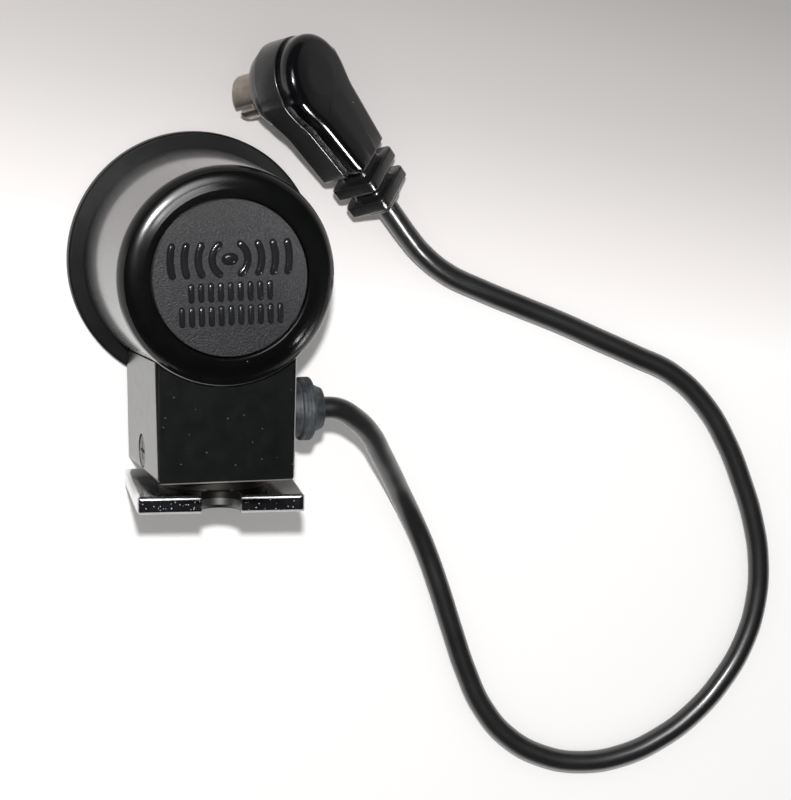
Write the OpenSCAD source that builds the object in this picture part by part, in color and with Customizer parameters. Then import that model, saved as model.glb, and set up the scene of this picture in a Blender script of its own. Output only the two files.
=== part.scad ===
// Wireless release receiver: a round sensor head with a block under it, a swivelling
// accessory-shoe foot, and a cord that ends in a right-angle plug.
// Millimetres. The head lies on its rear rim: z = 0 is the rim's resting plane, +Z is the
// axis of the barrel, -Y points from the barrel to the foot and +X to the cord's side.

/* [Barrel] */
// Height from the resting plane to the crest of the front rim
barrel_h = 21; // [20.5:0.1:23]
// Outer radius where the front rounding starts
barrel_front_r = 12.25; // [12.2:0.05:12.6]
// How much wider the barrel is at the rear, in radius
barrel_taper = 0.65; // [0.4:0.05:0.9]
// Wall of the barrel at the front
barrel_wall = 1.35; // [1.2:0.05:1.5]
// Front rounding, measured across the barrel
rim_round_r = 2.85; // [2.4:0.05:3]
// Front rounding, measured along the barrel
rim_round_h = 2.6; // [2.2:0.1:3]
// Wall between the name disc's seat and the inside
front_wall = 1.4; // [1.2:0.1:1.7]
// Rounding where the rim turns down into the disc's seat
seat_lip = 0.25; // [0.1:0.05:0.4]
// Flat land between that rounding and the front rounding
rim_land = 0.3; // [0.1:0.05:0.5]

/* [Name disc] */
// Thickness of the disc
disc_t = 1.2; // [1:0.1:1.5]
// How far the disc's face lies below the crest of the rim
disc_sink = 0.1; // [0.05:0.05:0.4]
// Bevel round the disc's face
disc_bevel = 0.15; // [0.05:0.05:0.3]

/* [Rear bezel and window] */
// How far the rear flange stands out past the barrel
flange_out = 1.7; // [1.4:0.1:2.4]
// Thickness of the rear flange
flange_t = 1.6; // [1.4:0.1:2]
// Rounding of the flange's front edge
flange_round = 0.3; // [0.1:0.1:0.5]
// Rounding of the flange's rear edge
flange_rear_round = 0.2; // [0.1:0.1:0.5]
// Length of the spigot that plugs into the barrel
spigot_h = 2.6; // [2.2:0.1:2.9]
// Wall of the spigot
spigot_wall = 0.85; // [0.7:0.05:1]
// Width of the lip that the window rests on
lip_w = 0.75; // [0.5:0.05:1]
// Thickness of the lip round that opening
lip_t = 0.85; // [0.6:0.05:1]
// Thickness of the filter window
window_t = 1.6; // [1.2:0.1:1.9]
// Width of the ring that holds the window
window_ring_w = 0.95; // [0.7:0.05:1.2]
// Height of that ring
window_ring_h = 0.9; // [0.6:0.1:1]

/* [Sensor] */
// Length of the two posts that carry the sensor board
standoff_len = 6.1; // [5.6:0.1:7]
// Radius of these posts
standoff_r = 1.6; // [1.4:0.1:1.8]
// Distance of the posts' axes from the sensor board's edge
standoff_inset = 2.2; // [2:0.1:2.4]
// Gap between the sensor board and the barrel
board_edge_gap = 1.3; // [1:0.1:1.4]
// Thickness of both circuit boards
board_t = 1.2; // [1:0.1:1.4]
// Outer radius of the hood round the photodiode
hood_r = 4.4; // [4.3:0.1:4.8]
// Wall of the hood
hood_wall = 0.6; // [0.4:0.1:0.7]
// Distance from the hood's open end to the window
hood_gap = 0.9; // [0.4:0.1:2]
// Radius of the hood's foot on the board
hood_foot_r = 5; // [4.9:0.1:5.4]
// Height of the hood's foot
hood_foot_h = 0.8; // [0.5:0.1:1.2]
// Photodiode across, along and high
diode_size = [5.2, 4.4, 2.2];
// Radius of the photodiode's lens
diode_lens_r = 1.9; // [1.4:0.1:2.1]
// Screening can over the amplifier, across, along and high
can_size = [7.4, 5.6, 3];
// Place of the can's centre on the board
can_at = [0.7, 0.2];
// Sheet thickness of the can
can_wall = 0.3; // [0.2:0.1:0.5]
// Radius of the smoothing capacitor
capacitor_r = 1.9; // [1.6:0.1:2]
// Height of the smoothing capacitor
capacitor_h = 4.4; // [3.6:0.1:5]
// Amplifier chip, across, along and high
chip_size = [4.4, 3.2, 1.3];
// A small part on the boards, across, along and high
small_part = [1, 1.8, 0.7];
// Distance of the small parts from the sensor board's edge
small_part_inset = 3.6; // [3.4:0.1:3.8]

/* [Housing block] */
// Half width of the block where it meets the barrel
block_top_half_w = 8.02; // [7.9:0.02:8.3]
// Half width of the block at its bottom
block_bottom_half_w = 7.74; // [7.6:0.02:8]
// How far the block reaches down past the barrel
block_drop = 10.85; // [10.6:0.05:11.6]
// Gap between the rear flange and the block
block_rear_gap = 0.1; // [0.05:0.05:0.3]
// Distance from the rim's crest back to the block's front face
block_front_inset = 1.95; // [1.8:0.05:2.2]
// Wall thickness of the block
block_wall = 1.5; // [1.3:0.1:1.6]
// Rounding of the front edges at the sides
block_side_round = 0.48; // [0.2:0.02:0.8]
// Rounding of the two bottom corners
block_corner_round = 0.7; // [0.3:0.1:1]
// Bevel of the front face's bottom edge
block_bevel = 0.25; // [0.1:0.05:0.5]
// Thickness of the base plate that closes the block
base_t = 1.6; // [1.4:0.1:2]
// Distance of the side screws up from the block's bottom
side_screw_up = 2.4; // [2.3:0.05:2.6]
// Distance of the side screws from the block's rear end
side_screw_along = 8.3; // [7.8:0.1:8.8]
// Radius of the side screws' recesses
side_recess_r = 1.95; // [1.8:0.05:2.1]
// Depth of these recesses
side_recess_depth = 0.9; // [0.6:0.05:1]
// Length of the base plate's lugs, from the plate upward
lug_len = 2.2; // [1.9:0.1:2.4]
// Thickness of the lugs
lug_t = 1.7; // [1.4:0.1:1.8]
// Height of the lugs along the barrel
lug_w = 4.4; // [3.6:0.1:4.6]
// Distance from the spigot to the rear one of the screws that hold the block
saddle_screw_rear = 1.4; // [1.2:0.1:2]
// Distance from the barrel's front wall to the front one of these screws
saddle_screw_front = 2.3; // [2.2:0.1:2.6]
// Distance of the wire passage to one side of the middle
passage_side = 3.2; // [3:0.1:3.4]
// Distance of the wire passage in front of the sensor board
passage_over_board = 1.4; // [1.3:0.05:1.6]
// Radius of the wire passage
passage_r = 1.5; // [1.2:0.1:1.6]
// Room between the block's saddle and the switch board
switch_board_drop = 1.68; // [1.6:0.02:2]
// Size of the switch board along the barrel
switch_board_len = 5.8; // [5:0.1:6]
// Width of the ledges that carry the switch board
rail_w = 0.85; // [0.6:0.05:1.2]
// Depth of these ledges
rail_depth = 1.2; // [0.8:0.1:1.4]

/* [Screws] */
// Shank radius of the board and saddle screws
screw_r = 0.75; // [0.6:0.05:0.8]
// Head radius of the board and saddle screws
screw_head_r = 1.4; // [1.2:0.1:1.5]
// Head height of all screws
screw_head_h = 0.8; // [0.6:0.1:0.9]
// Shank length of the board screws
board_screw_len = 5; // [3.5:0.1:5.4]
// Shank length of the saddle screws
saddle_screw_len = 3.6; // [3:0.1:4]
// Shank radius of the side screws
side_screw_r = 0.8; // [0.6:0.05:0.9]
// Head radius of the side screws
side_screw_head_r = 1.75; // [1.4:0.05:1.8]
// Shank length of the side screws
side_screw_len = 2.5; // [2:0.1:2.6]
// Width of the cross slots
cross_w = 0.42; // [0.3:0.02:0.5]
// Depth of the cross slots
cross_depth = 0.45; // [0.3:0.05:0.5]

/* [Foot] */
// Width of the shoe foot
foot_w = 18.6; // [18.4:0.05:18.7]
// Length of the shoe foot
foot_len = 18; // [17:0.1:19]
// Thickness of the shoe foot
foot_t = 2; // [1.9:0.05:2.05]
// Gap between the block and the foot
foot_gap = 1.02; // [0.8:0.02:1.6]
// Angle by which the foot stands turned
foot_turn = -6.3; // [-30:0.1:30]
// Width of the notch in the foot's front edge
notch_w = 4.4; // [3:0.1:5]
// Depth of that notch
notch_depth = 3.45; // [2.5:0.05:4]
// Rounding of the foot's corners
foot_corner = 0.5; // [0.3:0.1:1]
// Bevel of the foot's upper edges
foot_bevel = 0.25; // [0.1:0.05:0.4]
// Rounding of the foot's lower edges
foot_round = 0.35; // [0.1:0.05:0.5]
// Radius of the boss between foot and block
foot_boss_r = 6.2; // [5:0.1:6.8]

/* [Swivel] */
// Distance of the swivel's axis from the block's rear end
swivel_along = 10.3; // [9.9:0.1:10.6]
// Radius of the swivel post
post_r = 2; // [1.8:0.05:2.1]
// Head of the post, sunk into the foot
post_head_r = 3; // [2.6:0.1:3.4]
// Height of the boss inside the base plate
bearing_h = 0.6; // [0.4:0.1:0.8]
// Radius of that boss
bearing_r = 3.4; // [3:0.1:3.5]
// Radius of the friction washer
washer_r = 3.5; // [3.2:0.1:3.6]
// Thickness of the friction washer
washer_t = 0.3; // [0.2:0.05:0.4]
// Radius of the disc spring
spring_r = 3.4; // [3:0.1:3.5]
// Sheet thickness of the disc spring
spring_t = 0.25; // [0.2:0.05:0.3]
// Height of the disc spring over all
spring_h = 0.6; // [0.5:0.05:0.65]
// Radius of the retaining clip
clip_r = 3.2; // [2.8:0.1:3.4]
// Thickness of the retaining clip
clip_t = 0.45; // [0.3:0.05:0.5]
// Depth of the clip's groove in the post
groove_depth = 0.4; // [0.3:0.05:0.6]
// Length of post beyond the clip
post_end = 0.5; // [0.4:0.1:0.6]

/* [Grommet] */
// Distance of the cord's exit down from the barrel's front radius
exit_drop = 3.75; // [3.65:0.05:3.95]
// Distance of the cord's exit from the block's rear end
exit_along = 11.3; // [11.1:0.1:11.5]
// Radius of the flange inside the wall
grommet_inner_r = 2.85; // [2.6:0.05:2.9]
// Radius of the neck through the wall
grommet_neck_r = 2.3; // [2:0.05:2.4]
// Radius of the collar on the wall
grommet_base_r = 3.2; // [2.9:0.1:3.3]
// Length of that collar
grommet_base_len = 1.5; // [1.2:0.1:1.8]
// Radius of the disc
grommet_disc_r = 3.6; // [3.4:0.1:3.9]
// Length of the disc
grommet_disc_len = 1.5; // [1.2:0.1:1.8]
// Radius at the start of the shoulder
shoulder_r = 2.9; // [2.6:0.1:3]
// Radius at the end of the shoulder
shoulder_end_r = 2.4; // [2.1:0.1:2.5]
// Length of the shoulder
shoulder_len = 1.3; // [1:0.1:2]

/* [Cord] */
// Diameter of the cord
cord_d = 2.6; // [2.2:0.1:2.7]
// Radius of one insulated core
core_r = 0.35; // [0.25:0.05:0.4]
// Distance between the cores at the cord's end
core_pitch = 0.8; // [0.75:0.05:0.9]
// Distance between wires on the boards
wire_pitch = 1; // [0.9:0.05:1.2]
// Lift of the wires over the boards
wire_lift = 1.2; // [1:0.1:1.3]
// Radius of the crimp ring on the cord's inner end
ferrule_r = 1.95; // [1.7:0.05:2]
// Length of the crimp ring
ferrule_len = 1.3; // [1:0.1:1.5]

/* [Plug] */
// Radius of the plug's round head
plug_head_r = 5.1; // [4.9:0.1:5.4]
// Distance from the head's centre to the end of the moulding
plug_len = 11.8; // [11:0.1:13]
// Width of the moulding where it leaves the head, drawn on to the head's centre
plug_waist_w = 9.5; // [9:0.1:9.8]
// Width of the moulding at its end
plug_end_w = 7; // [6.8:0.1:8]
// Thickness of the moulding
plug_t = 5.7; // [5.5:0.1:6.4]
// Rounding of the upper moulding's edge
plug_round = 0.9; // [0.4:0.1:1.2]
// Wall of both mouldings
plug_wall = 1; // [0.9:0.05:1.1]
// Height of the seam above the middle plane
plug_seam = 0.35; // [0:0.05:0.6]
// How far the lower moulding stands out past the upper one
plug_proud = 0.12; // [0.05:0.01:0.2]
// Length of the cone under the head
plug_cone_len = 1.5; // [1:0.1:2]
// Radius of the cone at its end
plug_cone_r = 4.2; // [3.6:0.1:4.6]
// Radius of the contact sleeve
sleeve_r = 2.55; // [2.45:0.05:2.7]
// Wall of the contact sleeve
sleeve_wall = 0.6; // [0.4:0.05:0.65]
// Length of sleeve that stands out of the cone
sleeve_out = 3.8; // [3:0.1:4.5]
// Width of the slots in the sleeve
sleeve_slot = 0.9; // [0.6:0.1:1]
// Length of the slots in the sleeve
sleeve_slot_len = 2.4; // [1.5:0.1:2.8]
// Distance from the sleeve's rim in to the insulator
insulator_sink = 1.6; // [1:0.1:2]
// Radius of a contact pin
pin_r = 0.3; // [0.2:0.02:0.35]
// Distance of the pins from the sleeve's axis
pin_at = 1; // [0.8:0.05:1.2]
// Thickness of the strain relief's ribs
rib_t = 1.45; // [1.2:0.05:1.6]
// Gaps before each rib
rib_gap = 1.35; // [1:0.05:1.6]
// Widths of the two ribs, from the plug outward
rib_w = [7, 6.8];
// Depths of the two ribs, from the plug outward
rib_depth = [5.8, 5.5];
// Rounding of the ribs' corners
rib_round = 0.7; // [0.4:0.1:1]
// Width and depth of the strain relief's neck
boot_neck = [4.4, 3.4];
// Length of the neck past the last rib
boot_end = 1.2; // [1:0.1:1.6]

/* [Plug as it lies] */
// Place of the head's centre across and along
plug_xy = [11.1, 20.6];
// Direction of the strain relief, seen from above
plug_heading = -52.5; // [-60:0.5:-45]
// Roll about the plug's long axis
plug_roll = -40; // [-45:0.5:-35]

/* [Clearances] */
// Spigot in the barrel, window in the bezel
press_gap = 0.05; // [0.02:0.01:0.08]
// Name disc in its seat
disc_gap = 0.15; // [0.1:0.05:0.25]
// Block against the barrel
saddle_gap = 0.12; // [0.08:0.02:0.2]
// Screws in their threads, sleeves and pins in their holes
thread_gap = 0.02; // [0.01:0.01:0.04]
// Screws in the holes that they pass through
hole_gap = 0.1; // [0.05:0.01:0.15]
// Post in its bearing
swivel_gap = 0.05; // [0.03:0.01:0.08]
// Loose seats of boards and covers
seat_gap = 0.1; // [0.05:0.01:0.15]

/* [Hidden] */
$fn = 96;
// Sides of small holes and pins
small_fn = 48;
// Steps in a rounded edge
edge_steps = 6;
// Overshoot of every cut past the face that it opens
cut = 1;

barrel_rear_r = barrel_front_r + barrel_taper;
barrel_bore_r = barrel_front_r - barrel_wall;
crest_r = barrel_front_r - rim_round_r;
rim_z = barrel_h - rim_round_h;
seat_r = crest_r - rim_land - seat_lip;
disc_r = seat_r - disc_gap;
seat_z = barrel_h - disc_sink - disc_t;
ceiling_z = seat_z - front_wall;
flange_r = barrel_rear_r + flange_out;
spigot_r = barrel_bore_r - press_gap;
spigot_z = flange_t + spigot_h;
pocket_r = spigot_r - spigot_wall;
window_r = pocket_r - press_gap;
window_ring_r = window_r - window_ring_w;
aperture_r = window_r - lip_w;
window_top = lip_t + window_t;
board_r = barrel_bore_r - board_edge_gap;
standoff_at = board_r - standoff_inset;
board_top = ceiling_z - standoff_len;
board_bottom = board_top - board_t;
hood_z = window_top + hood_gap;

block_z0 = flange_t + block_rear_gap;
block_z1 = barrel_h - block_front_inset;
block_bottom = barrel_front_r + block_drop;
block_in_z0 = block_z0 + block_wall;
block_in_z1 = block_z1 - block_wall;
block_meet = sqrt(pow(barrel_front_r, 2) - pow(block_top_half_w, 2));
base_top = block_bottom - base_t;
base_half_w = block_bottom_half_w - block_wall - seat_gap;
lug_x = base_half_w - lug_t;
side_screw_at = block_bottom - side_screw_up;
side_screw_z = block_z0 + side_screw_along;
side_seat_x = block_half_w(side_screw_at) - side_recess_depth;
saddle_r = saddle_gap + block_wall;
saddle_screw_z = [spigot_z + saddle_screw_rear, ceiling_z - saddle_screw_front];
passage_at = [-passage_side, board_top + passage_over_board];
switch_board_at = barrel_rear_r + saddle_r + switch_board_drop;
switch_board_z = block_in_z0 + seat_gap * 2;
swivel_z = block_z0 + swivel_along;
exit_at = barrel_front_r + exit_drop;
exit_z = block_z0 + exit_along;

foot_top = block_bottom + foot_gap;
foot_bottom = foot_top + foot_t;
bearing_top = base_top - bearing_h;
washer_top = bearing_top - washer_t;
spring_top = washer_top - spring_h;
clip_top = spring_top - clip_t;
post_top = clip_top - post_end;

grommet_in_x = block_bottom_half_w - block_wall - grommet_inner_t();
grommet_wall_x = block_half_w(exit_at - grommet_base_r) + thread_gap;
grommet_disc_x = grommet_wall_x + grommet_base_len;
shoulder_x = grommet_disc_x + grommet_disc_len;
exit_x = shoulder_x + shoulder_len;

cord_r = cord_d / 2;
cord_sides = 8;
core_sides = 6;

sleeve_seat = plug_t / 2 - plug_wall;
sleeve_tip = plug_t / 2 + plug_cone_len + sleeve_out;
rib_x = [plug_len + rib_gap, plug_len + 2 * rib_gap + rib_t];
boot_x = rib_x[1] + rib_t + boot_end;
plug_pitch = rest_pitch(0, 40, 24);
plug_z = -sleeve_low(plug_pitch) + thread_gap;

// The cord's own points on the ground, from the grommet round to the plug
cord_points = [
    [14.2, -16.2, 12.8], [16.6, -17.6, 11.8], [18.9, -19.8, 10.1], [20.8, -22.6, 7.9],
    [22.6, -25.3, 5.6], [24.3, -28, 3.5], [26.2, -31.3, 1.9], [28.1, -35.3, 1.3],
    [29.9, -40.2, 1.3], [31.6, -45.4, 1.3], [33.4, -50.6, 1.3], [35.6, -55.3, 1.3],
    [38.9, -59.2, 1.3], [43.3, -61.8, 1.3], [48.4, -62.9, 1.3], [53.6, -62.4, 1.3],
    [58.5, -60.5, 1.3], [62.9, -57.5, 1.3], [66.5, -53.6, 1.3], [69.2, -49.1, 1.3],
    [70.7, -44, 1.3], [70.9, -38.8, 1.3], [70, -33.7, 1.3], [68.4, -28.9, 1.3],
    [66.3, -24, 1.3], [63.3, -19.2, 1.3], [59, -15.2, 1.3], [54.1, -12.8, 1.3],
    [49.2, -10.6, 1.3], [44.3, -8.4, 1.3], [39.4, -6.4, 1.3], [34.6, -4.4, 1.3],
    [30.4, -2.4, 1.4], [27.2, 0.1, 1.8], [25.2, 2.3, 2.5]
];
cord_route = concat(
    [[grommet_in_x - ferrule_len, -exit_at, exit_z], [exit_x, -exit_at, exit_z]],
    cord_points,
    [plug_point([boot_x + cord_d, 0, 0]), plug_point([boot_x, 0, 0]),
     plug_point([plug_len - plug_wall - cord_d / 2, 0, 0])]
);

// ---- Functions ----

function grommet_inner_t() = 1;
function barrel_r_at(z) =
    barrel_rear_r + (barrel_front_r - barrel_rear_r) * (z - flange_t) / (rim_z - flange_t);
function block_half_w(y) =
    block_bottom_half_w
    + (block_top_half_w - block_bottom_half_w) * (block_bottom - y) / (block_bottom - block_meet);
function arc(centre, r, from, to) =
    [for (i = [0:edge_steps])
        let (a = from + (to - from) * i / edge_steps) centre + r * [cos(a), sin(a)]];
// Outline of a rectangle with rounded corners, from its half sizes
function round_rect(half, r) = concat(
    arc([half.x - r, half.y - r], r, 0, 90), arc([r - half.x, half.y - r], r, 90, 180),
    arc([r - half.x, r - half.y], r, 180, 270), arc([half.x - r, r - half.y], r, 270, 360)
);
function unit(v) = v / norm(v);
function tangent(p, i) =
    i == 0 ? unit(p[1] - p[0])
    : i == len(p) - 1 ? unit(p[i] - p[i - 1])
    : unit(unit(p[i + 1] - p[i]) + unit(p[i] - p[i - 1]));
function ring(at, along, up, r, sides) =
    let (side = unit(cross(up, along)), top = cross(along, side))
    [for (k = [0:sides - 1]) let (a = 360 * (k + 0.5) / sides) at + r * (cos(a) * side + sin(a) * top)];
function turn_x(v, a) = [v.x, v.y * cos(a) - v.z * sin(a), v.y * sin(a) + v.z * cos(a)];
function turn_y(v, a) = [v.x * cos(a) + v.z * sin(a), v.y, v.z * cos(a) - v.x * sin(a)];
function turn_z(v, a) = [v.x * cos(a) - v.y * sin(a), v.x * sin(a) + v.y * cos(a), v.z];
// A point of the plug, given from its head's centre, where the plug lies
function plug_point(v) =
    turn_z(turn_y(turn_x(v, plug_roll), plug_pitch), plug_heading)
    + [plug_xy.x, plug_xy.y, plug_z];
// Height of the plug's own axes over the ground at a pitch
function upright(pitch) =
    [-sin(pitch), cos(pitch) * sin(plug_roll), cos(pitch) * cos(plug_roll)];
// Lowest point of the sleeve's rim, and of the outer rib's corner, under the head's centre
function sleeve_low(pitch) =
    let (n = upright(pitch)) -sleeve_tip * n.z - sleeve_r * norm([n.x, n.y]);
function rib_low(pitch) =
    let (n = upright(pitch))
    (rib_x[1] + rib_t) * n.x - (rib_w[1] / 2 - rib_round) * abs(n.y)
    - (rib_depth[1] / 2 - rib_round) * n.z - rib_round * norm([n.y, n.z]);
// The pitch at which both touch the ground, found by halving
function rest_pitch(low, high, left) =
    let (mid = (low + high) / 2)
    left == 0 ? mid
    : sleeve_low(mid) < rib_low(mid) ? rest_pitch(mid, high, left - 1)
    : rest_pitch(low, mid, left - 1);

// ---- Shared shapes ----

module tube(points, r, sides, up = [0, 0, 1]) {
    rings = [for (i = [0:len(points) - 1]) each ring(points[i], tangent(points, i), up, r, sides)];
    last = (len(points) - 1) * sides;
    walls = [
        for (i = [0:len(points) - 2], k = [0:sides - 1])
            let (a = i * sides + k, b = i * sides + (k + 1) % sides)
            each [[a, a + sides, b + sides], [a, b + sides, b]]
    ];
    start = [for (k = [1:sides - 2]) [0, k, k + 1]];
    end = [for (k = [1:sides - 2]) [last, last + k + 1, last + k]];
    polyhedron(points = rings, faces = concat(walls, start, end));
}

module pipe(r_out, r_in, h) {
    difference() {
        cylinder(r = r_out, h = h);
        translate([0, 0, -cut]) cylinder(r = r_in, h = h + 2 * cut);
    }
}

// A screw with its head's seat at z = 0, the shank pointing up and the head below
module screw(shank_r, shank_len, head_r) {
    cylinder(r = shank_r, h = shank_len, $fn = small_fn);
    difference() {
        translate([0, 0, -screw_head_h]) cylinder(r = head_r, h = screw_head_h, $fn = small_fn);
        for (a = [0, 90]) rotate([0, 0, a])
            translate([-head_r * 0.62, -cross_w / 2, -screw_head_h - cut])
                cube([head_r * 1.24, cross_w, cross_depth + cut]);
    }
}

// Children drawn with +Z along -Y, from the swivel's axis
module down_from_axis() {
    translate([0, 0, swivel_z]) rotate([90, 0, 0]) children();
}

// Children drawn with +Z along +X, at the cord's exit
module along_exit() {
    translate([0, -exit_at, exit_z]) rotate([0, 90, 0]) children();
}

module on_plug() {
    translate([plug_xy.x, plug_xy.y, plug_z]) rotate([plug_roll, plug_pitch, plug_heading])
        children();
}

module at_standoffs() {
    for (a = [45, 225]) rotate([0, 0, a]) translate([standoff_at, 0, 0]) children();
}

// The barrel's tapered outside, grown by a gap
module barrel_body(grow) {
    translate([0, 0, -cut])
        cylinder(r1 = barrel_r_at(-cut) + grow, r2 = barrel_r_at(barrel_h + cut) + grow,
                 h = barrel_h + 2 * cut);
}

// ---- Head ----

module barrel_shell() {
    lip = arc([seat_r + seat_lip, barrel_h - seat_lip], seat_lip, 90, 180);
    round_edge = [
        for (i = [0:2 * edge_steps]) let (a = 45 * i / edge_steps)
            [crest_r + rim_round_r * cos(a), rim_z + rim_round_h * sin(a)]
    ];
    color([0.07, 0.07, 0.075]) difference() {
        union() {
            rotate_extrude() polygon(concat(
                [[0, ceiling_z], [barrel_bore_r, ceiling_z], [barrel_bore_r, flange_t],
                 [barrel_rear_r, flange_t]],
                round_edge, lip, [[seat_r, seat_z], [0, seat_z]]
            ));
            at_standoffs() translate([0, 0, board_top])
                cylinder(r = standoff_r, h = standoff_len + front_wall / 2, $fn = small_fn);
        }
        at_standoffs() translate([0, 0, board_top - cut])
            cylinder(r = screw_r + thread_gap, h = board_screw_len - board_t + cut, $fn = small_fn);
        for (z = saddle_screw_z) translate([0, 0, z]) rotate([90, 0, 0])
            cylinder(r = screw_r + thread_gap, h = barrel_rear_r + cut, $fn = small_fn);
        translate([passage_at[0], standoff_r - barrel_bore_r, passage_at[1]]) rotate([90, 0, 0])
            cylinder(r = passage_r, h = barrel_rear_r - barrel_bore_r + standoff_r + cut, $fn = small_fn);
    }
}

module name_disc() {
    top = seat_z + disc_t;
    color([0.16, 0.16, 0.17]) rotate_extrude() polygon([
        [0, seat_z], [disc_r, seat_z], [disc_r, top - disc_bevel], [disc_r - disc_bevel, top], [0, top]
    ]);
}

module rear_bezel() {
    color([0.06, 0.06, 0.065]) rotate_extrude() polygon(concat(
        [[aperture_r, 0]],
        arc([flange_r - flange_rear_round, flange_rear_round], flange_rear_round, -90, 0),
        arc([flange_r - flange_round, flange_t - flange_round], flange_round, 0, 90),
        [[spigot_r, flange_t], [spigot_r, spigot_z], [pocket_r, spigot_z], [pocket_r, lip_t],
         [aperture_r, lip_t]]
    ));
}

module filter_window() {
    color([0.25, 0.02, 0.03]) translate([0, 0, lip_t]) cylinder(r = window_r, h = window_t);
}

module window_ring() {
    color([0.1, 0.1, 0.1]) translate([0, 0, window_top])
        pipe(window_r, window_ring_r, window_ring_h);
}

module diode_hood() {
    color([0.12, 0.12, 0.12]) difference() {
        union() {
            translate([0, 0, hood_z]) cylinder(r = hood_r, h = board_bottom - hood_z);
            translate([0, 0, board_bottom - hood_foot_h]) cylinder(r = hood_foot_r, h = hood_foot_h);
        }
        translate([0, 0, hood_z - cut])
            cylinder(r = hood_r - hood_wall, h = board_bottom - hood_z + 2 * cut);
    }
}

module photodiode() {
    body_z = board_bottom - diode_size.z;
    color([0.05, 0.03, 0.05]) {
        translate([-diode_size.x / 2, -diode_size.y / 2, body_z]) cube(diode_size);
        difference() {
            translate([0, 0, body_z]) sphere(r = diode_lens_r, $fn = small_fn);
            translate([-diode_lens_r, -diode_lens_r, body_z + diode_size.z / 2])
                cube(diode_lens_r * 2);
        }
    }
}

module sensor_board() {
    color([0.1, 0.35, 0.16]) translate([0, 0, board_bottom]) difference() {
        cylinder(r = board_r, h = board_t);
        at_standoffs() translate([0, 0, -cut])
            cylinder(r = screw_r + hole_gap, h = board_t + 2 * cut, $fn = small_fn);
    }
}

module board_screws() {
    color([0.75, 0.75, 0.75]) at_standoffs() translate([0, 0, board_bottom])
        screw(screw_r, board_screw_len, screw_head_r);
}

module shield_can() {
    inner = [can_size.x - 2 * can_wall, can_size.y - 2 * can_wall, can_size.z - can_wall + cut];
    color([0.7, 0.7, 0.68]) translate([can_at.x, can_at.y, board_top]) difference() {
        translate([-can_size.x / 2, -can_size.y / 2, 0]) cube(can_size);
        translate([can_wall - can_size.x / 2, can_wall - can_size.y / 2, -cut]) cube(inner);
    }
}

// A box with its bottom's centre at a bearing and a distance in from the sensor board's edge
module part_on_board(bearing, inset, size, z) {
    reach = board_r - inset;
    translate([reach * cos(bearing) - size.x / 2, reach * sin(bearing) - size.y / 2, z]) cube(size);
}

module board_parts() {
    cap_reach = board_r - 1.8 * capacitor_r;
    // Smoothing capacitor
    color([0.1, 0.15, 0.4]) rotate([0, 0, 185]) translate([cap_reach, 0, board_top])
        cylinder(r = capacitor_r, h = capacitor_h, $fn = small_fn);
    // Amplifier
    color([0.08, 0.08, 0.08]) part_on_board(299, small_part_inset, chip_size, board_top);
    // Small parts on both faces
    color([0.75, 0.65, 0.45]) {
        for (bearing = [70, 110, 252])
            part_on_board(bearing, small_part_inset, [small_part.y, small_part.x, small_part.z], board_top);
        part_on_board(345, small_part_inset - small_part.x, small_part, board_top);
        for (bearing = [165, 350])
            part_on_board(bearing, small_part_inset - small_part.z, small_part, board_bottom - small_part.z);
    }
}

// ---- Block under the barrel ----

// The block's outline across the barrel, drawn from the axis down to the bottom
module block_outline(inset, corner) {
    half_top = block_half_w(0) - inset;
    half = block_bottom_half_w - inset;
    bottom = block_bottom;
    polygon(concat(
        [[half_top, 0], [-half_top, 0]],
        arc([corner - half, corner - bottom], corner, 180, 270),
        arc([half - corner, corner - bottom], corner, 270, 360)
    ));
}

module block_side_cut() {
    z0 = block_z0;
    z1 = block_z1;
    translate([-block_top_half_w - cut, 0, 0]) rotate([90, 0, 90])
        linear_extrude(2 * (block_top_half_w + cut)) polygon([
            [0, z0], [0, z1], [block_bevel - block_bottom, z1], [-block_bottom, z1 - block_bevel],
            [-block_bottom, z0]
        ]);
}

module housing_block() {
    mid_z = (block_z0 + block_z1) / 2;
    depth = block_z1 - block_z0;
    rail_x = block_bottom_half_w - block_wall - rail_w;
    color([0.08, 0.08, 0.085]) difference() {
        union() {
            difference() {
                intersection() {
                    translate([0, 0, block_z0]) linear_extrude(depth) block_outline(0, block_corner_round);
                    translate([0, 0, mid_z]) rotate([90, 0, 0]) linear_extrude(block_bottom)
                        polygon(round_rect([block_half_w(block_meet), depth / 2], block_side_round));
                    block_side_cut();
                }
                difference() {
                    translate([0, -cut, block_in_z0]) linear_extrude(block_in_z1 - block_in_z0)
                        block_outline(block_wall, thread_gap);
                    barrel_body(saddle_r);
                }
            }
            // Ledges for the switch board
            for (s = [-1, 1]) translate([s > 0 ? rail_x : -rail_x - rail_w - block_wall / 2,
                                         -switch_board_at, switch_board_z])
                cube([rail_w + block_wall / 2, rail_depth, switch_board_len]);
        }
        barrel_body(saddle_gap);
        for (z = saddle_screw_z) {
            seat = barrel_r_at(z) + saddle_r - seat_gap;
            translate([0, 0, z]) rotate([90, 0, 0])
                cylinder(r = screw_r + hole_gap, h = base_top, $fn = small_fn);
            translate([0, -seat, z]) rotate([90, 0, 0])
                cylinder(r = screw_head_r + hole_gap, h = block_wall, $fn = small_fn);
        }
        translate([passage_at[0], 0, passage_at[1]]) rotate([90, 0, 0])
            cylinder(r = passage_r, h = base_top - cut, $fn = small_fn);
        for (s = [-1, 1]) translate([0, -side_screw_at, side_screw_z]) rotate([0, s * 90, 0]) {
            cylinder(r = side_screw_r + hole_gap, h = block_top_half_w + cut, $fn = small_fn);
            translate([0, 0, side_seat_x]) cylinder(r = side_recess_r, h = block_wall + cut, $fn = small_fn);
        }
        along_exit() cylinder(r = grommet_neck_r + thread_gap, h = block_top_half_w + cut, $fn = small_fn);
    }
}

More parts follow.
